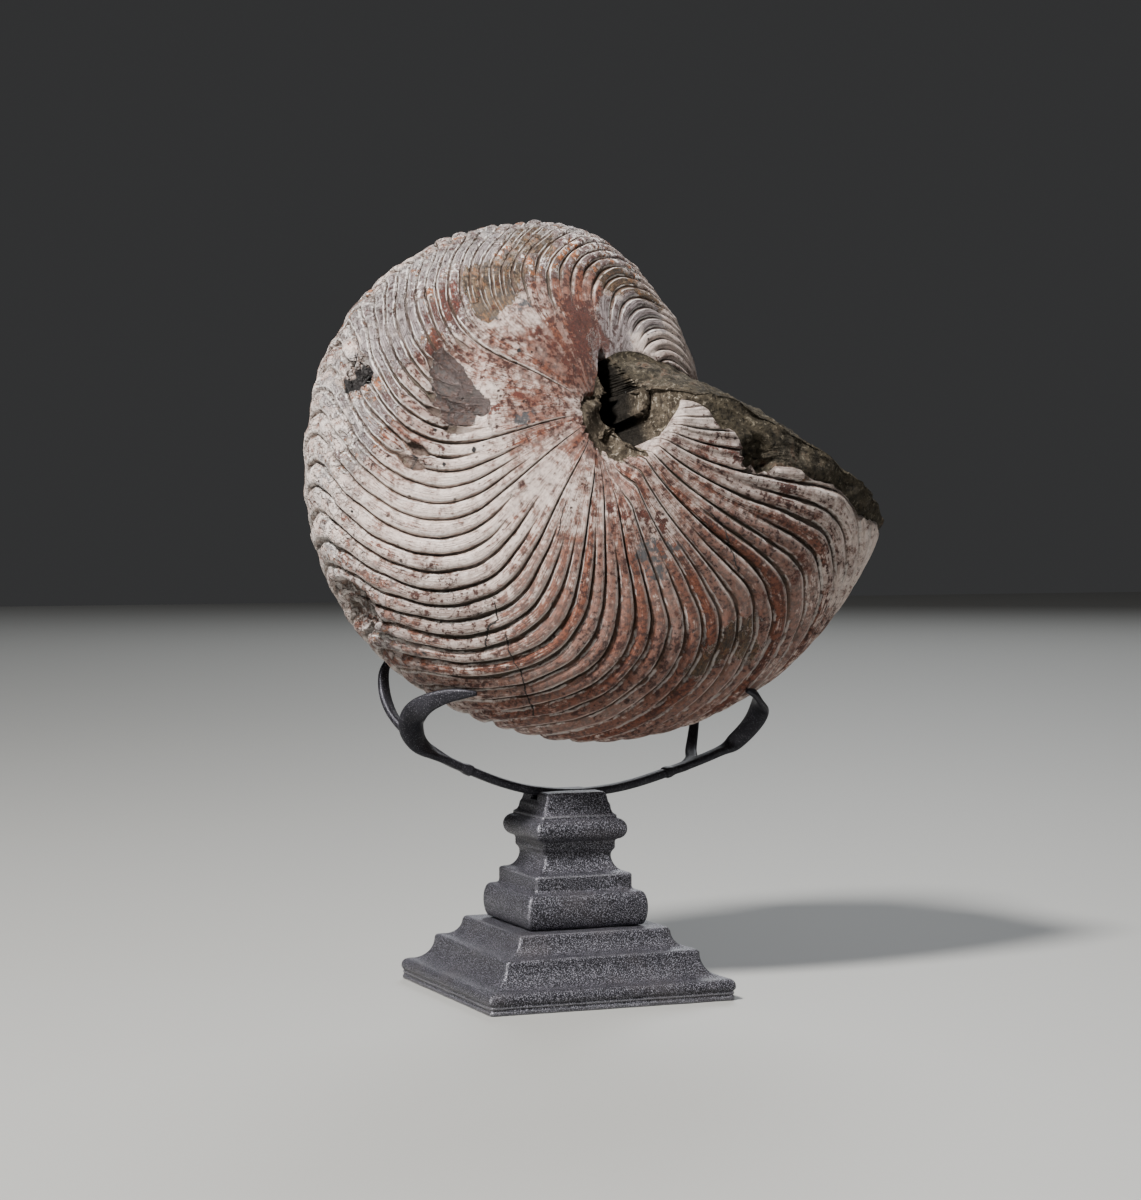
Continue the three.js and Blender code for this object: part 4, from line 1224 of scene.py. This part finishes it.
def cavetto(start, end, steps=10):
    """A hollow quarter curve in (half width, z): level where it starts, upright at its end."""
    (half0, z0), (half1, z1) = start, end
    turns = [math.pi / 2 * i / steps for i in range(steps + 1)]
    return [
        (half0 + (half1 - half0) * math.sin(t), z0 + (z1 - z0) * (1 - math.cos(t))) for t in turns
    ]


def round_edge(inner, outer, z0, z1, steps=14):
    """A rounded edge that bulges from the half width `inner` to `outer`."""
    turns = [math.pi * i / steps for i in range(steps + 1)]
    return [
        (inner + (outer - inner) * math.sin(t), (z0 + z1) / 2 - (z1 - z0) / 2 * math.cos(t))
        for t in turns
    ]


def plinth_profile():
    lower, upper = 35.9, 28.2
    return [
        (44.8, 0), (45, 1.3), (44.3, 1.8), (45.1, 2.6), (44.5, 3.2), (45.3, 4),
        (45.4, 5), (45.1, 6.3), (44.2, 7.2), (43.2, 7.5),
        *cavetto((43.1, 7.5), (lower, 16.1)),
        (lower - 0.6, 16.8),
        *cavetto((lower - 1.6, 16.9), (upper, 22.8)),
        (upper - 0.7, 24),
    ]


def pedestal_profile():
    base, bullnose, band, waist = 20.5, 22.5, 18.1, 12.5
    fillet, torus, tier, cap, top = 13.65, 17, 14.3, 10.6, 70.2
    bottom = 24.3
    return [
        *round_edge(base, bullnose, bottom, 36.2, 18),
        *cavetto((base - 0.4, 36.4), (band, 37.4), 5),
        (band, 42),
        *cavetto((band - 1.2, 42.6), (waist, 48.4), 11),
        (waist + 0.3, 49.6), (fillet, 50.6), (fillet, 53),
        *round_edge(torus - 3, torus, 53.8, 61.4, 15),
        (tier, 61.6), (tier, 62.4),
        *cavetto((tier - 0.4, 62.6), (cap + 1.9, 65.8), 7),
        (cap + 1.3, 66.6), (cap + 0.7, top - 0.8), (cap, top),
    ]


def new_piece(name, points, faces, material):
    mesh = bpy.data.meshes.new(name)
    mesh.from_pydata([tuple(point) for point in points], [], faces)
    mesh.materials.append(material)
    piece = bpy.data.objects.new(name, mesh)
    bpy.context.scene.collection.objects.link(piece)
    return piece


def softened(profile, reach, step=0.3):
    """The profile in even steps, its corners rounded off over a reach, in mm."""
    places = [0]
    for before, after in zip(profile, profile[1:]):
        places.append(places[-1] + math.dist(before, after))
    count = round(places[-1] / step)
    even = np.linspace(0, places[-1], count + 1)
    points = np.stack([np.interp(even, places, axis) for axis in zip(*profile)], axis=1)
    spread = round(reach / step)
    weights = np.array([spread + 1 - abs(i) for i in range(-spread, spread + 1)], float)
    padded = np.pad(points, ((spread, spread), (0, 0)), mode="edge")
    soft = [np.convolve(axis, weights / weights.sum(), "valid") for axis in padded.T]
    return np.stack(soft, axis=1)


def rounded_square(half, radius, side_steps, corner_steps=6):
    """Points round a square with rounded corners, counter-clockwise."""
    points = []
    flat = half - radius
    for corner in range(4):
        start = math.pi / 2 * (corner - 0.5)
        side = Vector((math.cos(start + math.pi / 4), math.sin(start + math.pi / 4)))
        ahead = Vector((-side.y, side.x))
        for step in range(side_steps):
            points.append(side * half + ahead * flat * (2 * step / side_steps - 1))
        for step in range(corner_steps):
            turn = math.pi / 2 * step / corner_steps
            arc = side * math.cos(turn) + ahead * math.sin(turn)
            points.append((side + ahead) * flat + arc * radius)
    return points


def square_moulding(name, profile, material, arris, side_steps=24):
    """A closed solid of square plan whose four sides all have this profile, in mm."""
    (foot, bottom), (cap, top) = profile[0], profile[-1]
    lip = 4
    rings = softened([(foot - lip, bottom), *profile, (cap - lip, top)], 0.6 * arris)
    points = []
    for half, z in rings:
        points += [(x * MM, y * MM, z * MM) for x, y in rounded_square(half, arris, side_steps)]
    count = len(points) // len(rings)
    faces = []
    for ring in range(len(rings) - 1):
        for i in range(count):
            a, b = ring * count + i, ring * count + (i + 1) % count
            faces.append((a, b, b + count, a + count))
    faces.append(tuple(reversed(range(count))))
    faces.append(tuple(range(len(points) - count, len(points))))
    piece = new_piece(name, points, faces, material)
    piece.data.shade_smooth()
    for face in piece.data.polygons[-2:]:
        face.use_smooth = False
    return piece


def apply_modifiers(piece):
    """Turns a piece with modifiers into its plain mesh."""
    bpy.context.view_layer.update()
    depsgraph = bpy.context.evaluated_depsgraph_get()
    mesh = bpy.data.meshes.new_from_object(piece.evaluated_get(depsgraph))
    piece.modifiers.clear()
    piece.data = mesh


def cut_slot(piece, width, floor):
    """Cuts a slot along X, open at the top and at both ends, down to the height `floor`."""
    half, reach, top = width / 2, 0.05, 0.1
    corners = [(x, y, z) for z in (floor, top) for y in (-half, half) for x in (-reach, reach)]
    sides = [(0, 2, 3, 1), (4, 5, 7, 6), (0, 1, 5, 4), (2, 6, 7, 3), (0, 4, 6, 2), (1, 3, 7, 5)]
    cutter = new_piece("slot_cutter", corners, sides, piece.data.materials[0])
    boolean = piece.modifiers.new("Slot", "BOOLEAN")
    boolean.object = cutter
    boolean.operation = "DIFFERENCE"
    apply_modifiers(piece)
    bpy.data.objects.remove(cutter)


def roughen_casting(piece, depth, foot_depth):
    """Makes the flats uneven, as sand casting does, and more so near the foot."""
    mesh = piece.data
    points = points_of(mesh)
    offsets = []
    for vertex in mesh.vertices:
        lowest = max(0, 1 - vertex.co.z / FOOT_REACH)
        ends = min(1, vertex.co.z / LEVEL_FOOT)
        swell = noise.noise(vertex.co * CASTING_WAVES) * depth
        swell += noise.noise(vertex.co * FOOT_WAVES) * foot_depth * lowest
        offsets.append(vertex.normal * swell * ends)
    mesh.vertices.foreach_set("co", (points + np.array(offsets)).ravel())
    mesh.update()


def mark_worn_and_glinting_edges(piece, reach):
    """Stores how sharply the surface bends outwards at each point, from 0 to 1."""
    mesh = piece.data
    bend = np.zeros(len(mesh.vertices))
    for edge in mesh.edges:
        a, b = (mesh.vertices[i] for i in edge.vertices)
        along_edge = (b.co - a.co) / max((b.co - a.co).length, 1e-9)
        turn = (b.normal - a.normal).dot(along_edge)
        bend[a.index] = max(bend[a.index], turn)
        bend[b.index] = max(bend[b.index], turn)
    # The weight, worn, marks rubbed wear and painted glints alike.
    add_weight(mesh, "worn", np.clip(bend / reach, 0, 1))


def hand_in(piece, node):
    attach(piece, "root")
    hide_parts(node)


# Each horn is a blade: centre, direction across the blade, width, thickness, in mm.
# A stem starts in a weld bead round the end of the bar.
LEFT_STEM = (
    ((-35.1, 0, 78), (0, 1, 0), 6, 4), ((-36.9, 0, 78.8), (0, 1, 0), 6.2, 4),
    ((-38.6, 0, 79.5), (0, 1, 0), 5.8, 3.2), ((-43.2, 0, 81.6), (0, 1, 0), 6.4, 3.2),
)
LEFT_FRONT_HORN = LEFT_STEM + (
    ((-50.4, -1.5, 85.4), (0.35, 0.9, 0.3), 7.4, 3.2),
    ((-56.4, -5, 89.6), (0.7, 0.5, 0.3), 8.6, 3.2),
    ((-60.2, -9.5, 95), (0.85, 0.1, 0.2), 9.4, 3),
    ((-60.6, -14.5, 99.8), (0.8, -0.2, -0.3), 8.6, 3),
    ((-57.8, -19.5, 103.4), (0.5, -0.2, -0.8), 6.6, 2.8),
    ((-53, -24.2, 105.8), (0.3, -0.1, -0.9), 5, 2.6),
    ((-48.4, -27.8, 106.7), (0.2, 0, -1), 3.6, 2.2),
    ((-44, -29.9, 106.9), (0.1, 0, -1), 1.6, 1.6),
)
LEFT_REAR_HORN = LEFT_STEM + (
    ((-50.8, 2.2, 86.4), (-0.2, 0.9, -0.2), 6, 3.2),
    ((-56.2, 5.8, 91.2), (0.5, 0.8, -0.3), 5.6, 3),
    ((-59.8, 9.6, 96.6), (0.7, 0.5, -0.3), 5.2, 2.8),
    ((-61.2, 13.5, 102), (0.8, 0.4, -0.2), 5, 2.6),
    ((-61.2, 16.8, 107.5), (0.8, 0.4, 0), 4.6, 2.4),
    ((-60, 19, 112.8), (0.8, 0.4, 0.2), 3.8, 2.2),
    ((-56.4, 19.6, 119.2), (0.7, 0.4, 0.3), 1.8, 1.6),
)
RIGHT_STEM = (
    ((38.1, 0, 74.8), (0, 1, 0), 6, 4), ((39.9, 0, 75.3), (0, 1, 0), 6.2, 4),
    ((41.6, 0, 75.8), (0, 1, 0), 5.8, 3.2), ((46.6, 0, 77.3), (0, 1, 0), 6.2, 3.2),
)
RIGHT_FRONT_HORN = RIGHT_STEM + (
    ((56, -0.6, 80.6), (-0.2, 0.95, -0.1), 6, 3.2),
    ((62.4, -3.4, 84.2), (-0.5, 0.7, -0.2), 6.2, 3.2),
    ((66.2, -8.6, 89.6), (0.7, -0.5, -0.1), 6.8, 3),
    ((67.2, -14.8, 94.8), (0.8, -0.4, -0.2), 7.4, 3),
    ((65.8, -20.8, 99.2), (0.7, -0.5, -0.5), 7, 2.8),
    ((62.4, -26.6, 101.8), (0.4, -0.5, -0.7), 5.4, 2.6),
    ((58.8, -30.8, 104.4), (0.2, -0.4, -0.9), 3.6, 2.2),
    ((54.6, -33.4, 105.8), (0.1, -0.3, -1), 1.6, 1.6),
)
RIGHT_REAR_HORN = RIGHT_STEM + (
    ((50.6, 4, 79.2), (-0.6, 0.7, 0), 4.6, 3),
    ((53, 9.6, 81.8), (-0.8, 0.5, 0), 4.2, 2.8),
    ((56, 14.6, 86.4), (-0.9, 0.4, 0), 3.8, 2.6),
    ((58.6, 18.6, 92.2), (-0.9, 0.4, 0), 3.4, 2.4),
    ((60.4, 21.4, 99), (-0.9, 0.4, 0), 3, 2.2),
    ((59.8, 22.5, 106.9), (-0.9, 0.4, 0), 1.6, 1.6),
)
BAR_LINE = (
    (-35.9, 78.4), (-24, 73.7), (-12, 70.6), (3, 69.2), (16, 69.9), (27, 71.8), (38.9, 75),
)
BAR_STATIONS = tuple(((x, 0, z), (0, 1, 0), 5, 3.2) for x, z in BAR_LINE)
BLADE_SQUARENESS = 0.7  # under 1, a blade's section is squarer than an oval


def smooth_through(values, spans, at):
    """A smooth curve through values that are one span apart, and its direction."""
    first = min(int(at), spans - 1)
    share = at - first
    before, start, end, after = (
        values[min(max(first + step, 0), spans)] for step in (-1, 0, 1, 2)
    )
    leave, arrive = (end - before) / 2, (after - start) / 2
    square, cube = share**2, share**3
    point = start * (2 * cube - 3 * square + 1) + leave * (cube - 2 * square + share)
    point = point + end * (3 * square - 2 * cube) + arrive * (cube - square)
    slope = (start - end) * (6 * square - 6 * share) + leave * (3 * square - 4 * share + 1)
    return point, slope + arrive * (3 * square - 2 * share)


def blade(name, stations, material, per_span=10, sides=24):
    """A closed blade lofted through its stations, in mm."""
    spans = len(stations) - 1
    centres, acrosses = ([Vector(station[part]) for station in stations] for part in (0, 1))
    for i, across in enumerate(acrosses):
        across.normalize()
        if i and across.dot(acrosses[i - 1]) < 0:
            across.negate()
    widths, thicknesses = ([station[part] for station in stations] for part in (2, 3))
    points = []
    for step in range(spans * per_span + 1):
        at = step / per_span
        centre, ahead = smooth_through(centres, spans, at)
        ahead.normalize()
        across = smooth_through(acrosses, spans, at)[0]
        flat = (across - ahead * across.dot(ahead)).normalized()
        up = ahead.cross(flat)
        width = smooth_through(widths, spans, at)[0]
        thickness = smooth_through(thicknesses, spans, at)[0]
        for i in range(sides):
            turn = 2 * math.pi * (i + 0.5) / sides
            x, y = (
                math.copysign(abs(v) ** BLADE_SQUARENESS, v)
                for v in (math.cos(turn), math.sin(turn))
            )
            points.append((centre + flat * (x * width / 2) + up * (y * thickness / 2)) * MM)
    faces = []
    for ring in range(spans * per_span):
        for i in range(sides):
            a, b = ring * sides + i, ring * sides + (i + 1) % sides
            faces.append((a, b, b + sides, a + sides))
    faces.append(tuple(reversed(range(sides))))
    faces.append(tuple(range(len(points) - sides, len(points))))
    return new_piece(name, points, faces, material)


def fused(name, parts, voxel):
    """One smooth skin round parts that run into each other, as cast or welded and ground."""
    body = parts[0]
    with bpy.context.temp_override(active_object=body, selected_editable_objects=parts):
        bpy.ops.object.join()
    body.name = name
    remesh = body.modifiers.new("Skin", "REMESH")
    remesh.mode = "VOXEL"
    remesh.voxel_size = voxel
    smooth = body.modifiers.new("Grind", "SMOOTH")
    smooth.iterations = 4
    apply_modifiers(body)
    body.data.shade_smooth()
    return body


# ---------------------------------------------------------------- the studio


class StageSettings(bpy.types.PropertyGroup):
    """The studio: floor, lights and camera"""

    floor: bpy.props.FloatVectorProperty(
        name="Floor", subtype="COLOR", size=4, default=(0.29, 0.29, 0.28, 1), min=0, max=1,
        description="The plain pale floor",
    )
    key_power: bpy.props.FloatProperty(
        name="Key Power", default=118, description="Power of the main light, in watts",
    )
    fill_power: bpy.props.FloatProperty(
        name="Fill Power", default=4, description="Power of the fill light, in watts",
    )
    back_power: bpy.props.FloatProperty(
        name="Back Power", default=40, description="Power of the light from behind, in watts",
    )
    sky: bpy.props.FloatProperty(
        name="Sky", default=0.045, description="Strength of the light from all round",
    )


LOOK_AT = (0, 0, 0.16)
WARM, COOL = (1, 0.98, 0.95), (0.94, 0.97, 1)
# Each light's place, size and colour.
KEY_LIGHT = ((-1.04, -0.74, 1.5), 0.3, WARM)
FILL_LIGHT = ((1.3, -1.3, 1.1), 1.2, COOL)
BACK_LIGHT = ((1.5, 2.5, 1.9), 1.6, COOL)
SKY_COLOUR = (0.85, 0.86, 0.88, 1)
FLOOR_REACH = 4
CAMERA_DISTANCE = 1.05
CAMERA_HEIGHT = 0.1704
CAMERA_SHIFT = 0.002
CAMERA_AZIMUTH = math.radians(-22.3)
CAMERA_PITCH = math.radians(-1.83)
CAMERA_LENS = 90
CAMERA_SENSOR = 36


def add_area_light(name, setting, power):
    """A round soft light that points at the middle of the object."""
    place, size, colour = setting
    light = bpy.data.lights.new(name, "AREA")
    light.shape = "DISK"
    light.size = size
    light.energy = power
    light.color = colour
    lamp = bpy.data.objects.new(name, light)
    lamp.location = place
    lamp.rotation_euler = (Vector(LOOK_AT) - Vector(place)).to_track_quat("-Z", "Y").to_euler()
    bpy.context.scene.collection.objects.link(lamp)


def add_camera():
    right = Vector((math.cos(CAMERA_AZIMUTH), math.sin(CAMERA_AZIMUTH), 0))
    ahead = Vector((-math.sin(CAMERA_AZIMUTH), math.cos(CAMERA_AZIMUTH), 0))
    up = Vector((0, 0, 1))
    data = bpy.data.cameras.new("camera")
    data.lens = CAMERA_LENS
    data.sensor_width = CAMERA_SENSOR
    camera = bpy.data.objects.new("camera", data)
    camera.location = ahead * -CAMERA_DISTANCE + right * CAMERA_SHIFT + up * CAMERA_HEIGHT
    view = ahead * math.cos(CAMERA_PITCH) + up * math.sin(CAMERA_PITCH)
    camera.rotation_euler = view.to_track_quat("-Z", "Y").to_euler()
    bpy.context.scene.collection.objects.link(camera)
    bpy.context.scene.camera = camera


# ---------------------------------------------------------------- operators


# How the shell rests: its turn, and where its coiling axis lies.
FOSSIL_TURN = Euler((math.radians(-6), 0, math.radians(1.6)), "YXZ")
FOSSIL_PLACE = Vector((-6 * MM, 0, 196.4 * MM))
# Unevenness of the castings, all over and at the foot, and the groove for the bar.
CASTING_SWELL, FOOT_SWELL = 0.25 * MM, 0.35 * MM
CASTING_WAVES, FOOT_WAVES = 90, 260  # to a metre
FOOT_REACH = 10 * MM  # how high the foot's unevenness reaches
LEVEL_FOOT = 0.4 * MM  # unevenness comes in over this height, from a flat underside
SHARPEST_BEND = 0.5
BAR_GROOVE_WIDTH, BAR_GROOVE_FLOOR = 5.6 * MM, 67.3 * MM
WELD_VOXEL = 0.35 * MM


class OBJECT_OT_build_fossil(bpy.types.Operator):
    """Build the ribbed shell with the stone in its mouth"""

    bl_idname = "object.build_fossil"
    bl_label = "Build Fossil"

    def execute(self, context):
        s = context.scene.nautilus_shell
        values = {label: getattr(s, label.lower().replace(" ", "_")) for label in SIZE_INPUTS}
        tree = fossil_tree((shell_finish(s), stone_finish(s)))
        fossil = evaluated_mesh("ribbed_nautilus", tree, values)
        paint_shell(fossil.data)
        break_places(fossil.data)
        turn = FOSSIL_TURN.to_matrix().to_4x4()
        fossil.data.transform(Matrix.Translation(FOSSIL_PLACE) @ turn)
        hand_in(fossil, "fossil_nautilus")
        return {"FINISHED"}


class OBJECT_OT_build_mouldings(bpy.types.Operator):
    """Build the plinth and the pedestal"""

    bl_idname = "object.build_mouldings"
    bl_label = "Build Mouldings"

    def execute(self, context):
        s = context.scene.nautilus_stand
        metal = powder_metal_finish(s)
        profiles = {"plinth": plinth_profile(), "pedestal": pedestal_profile()}
        for node, profile in profiles.items():
            piece = square_moulding(f"{node}_casting", profile, metal, s.arris / MM)
            roughen_casting(piece, CASTING_SWELL, FOOT_SWELL)
            mark_worn_and_glinting_edges(piece, SHARPEST_BEND)
            if node == "pedestal":
                cut_slot(piece, BAR_GROOVE_WIDTH, BAR_GROOVE_FLOOR)
            hand_in(piece, node)
        return {"FINISHED"}


class OBJECT_OT_build_cradle(bpy.types.Operator):
    """Build the bar and the two forks that hold the fossil"""

    bl_idname = "object.build_cradle"
    bl_label = "Build Cradle"

    def execute(self, context):
        metal = forged_metal_finish(context.scene.nautilus_stand)
        bar = blade("cradle_bar_forging", BAR_STATIONS, metal)
        bar.data.shade_smooth()
        hand_in(bar, "cradle_bar")
        horns = {
            "left_fork": (LEFT_FRONT_HORN, LEFT_REAR_HORN),
            "right_fork": (RIGHT_FRONT_HORN, RIGHT_REAR_HORN),
        }
        for node, pair in horns.items():
            blades = [blade(f"{node}_{i}", stations, metal) for i, stations in enumerate(pair)]
            hand_in(fused(f"{node}_forging", blades, WELD_VOXEL), node)
        return {"FINISHED"}


class SCENE_OT_build_stage(bpy.types.Operator):
    """Build the floor, the lights and the camera"""

    bl_idname = "scene.build_stage"
    bl_label = "Build Stage"

    def execute(self, context):
        s = context.scene.nautilus_stage
        material, _, shader = new_material("pale_floor", 0.6)
        shader.inputs["Base Color"].default_value = s.floor
        turns = ((-1, -1), (1, -1), (1, 1), (-1, 1))
        corners = [(x * FLOOR_REACH, y * FLOOR_REACH, 0) for x, y in turns]
        floor = new_piece("studio_floor", corners, [(0, 1, 2, 3)], material)
        world = bpy.data.worlds.new("studio")
        world.use_nodes = True
        sky = world.node_tree.nodes["Background"]
        sky.inputs["Color"].default_value = SKY_COLOUR
        sky.inputs["Strength"].default_value = s.sky
        context.scene.world = world
        add_area_light("key_light", KEY_LIGHT, s.key_power)
        add_area_light("fill_light", FILL_LIGHT, s.fill_power)
        add_area_light("back_light", BACK_LIGHT, s.back_power)
        add_camera()
        return {"FINISHED"}


class VIEW3D_PT_nautilus(bpy.types.Panel):
    """Sizes, colours and the steps that build the object"""

    bl_label = "Fossil Nautilus"
    bl_idname = "VIEW3D_PT_nautilus"
    bl_space_type = "VIEW_3D"
    bl_region_type = "UI"
    bl_category = "Nautilus"

    def draw(self, context):
        scene = context.scene
        for group in (scene.nautilus_shell, scene.nautilus_stand, scene.nautilus_stage):
            box = self.layout.box()
            for name in group.__annotations__:
                box.prop(group, name)
        for step in STEPS:
            self.layout.operator(step.bl_idname)


STEPS = (
    OBJECT_OT_build_fossil, OBJECT_OT_build_mouldings, OBJECT_OT_build_cradle,
    SCENE_OT_build_stage,
)
SETTINGS = {
    "nautilus_shell": NautilusShellSettings, "nautilus_stand": StandSettings,
    "nautilus_stage": StageSettings,
}


def register():
    for name, group in SETTINGS.items():
        bpy.utils.register_class(group)
        setattr(bpy.types.Scene, name, bpy.props.PointerProperty(type=group))
    for step in (*STEPS, VIEW3D_PT_nautilus):
        bpy.utils.register_class(step)


def unregister():
    for step in reversed((*STEPS, VIEW3D_PT_nautilus)):
        bpy.utils.unregister_class(step)
    for name, group in SETTINGS.items():
        delattr(bpy.types.Scene, name)
        bpy.utils.unregister_class(group)


def main():
    register()
    bpy.ops.object.build_fossil()
    bpy.ops.object.build_mouldings()
    bpy.ops.object.build_cradle()
    bpy.ops.scene.build_stage()


if __name__ == "__main__":
    main()
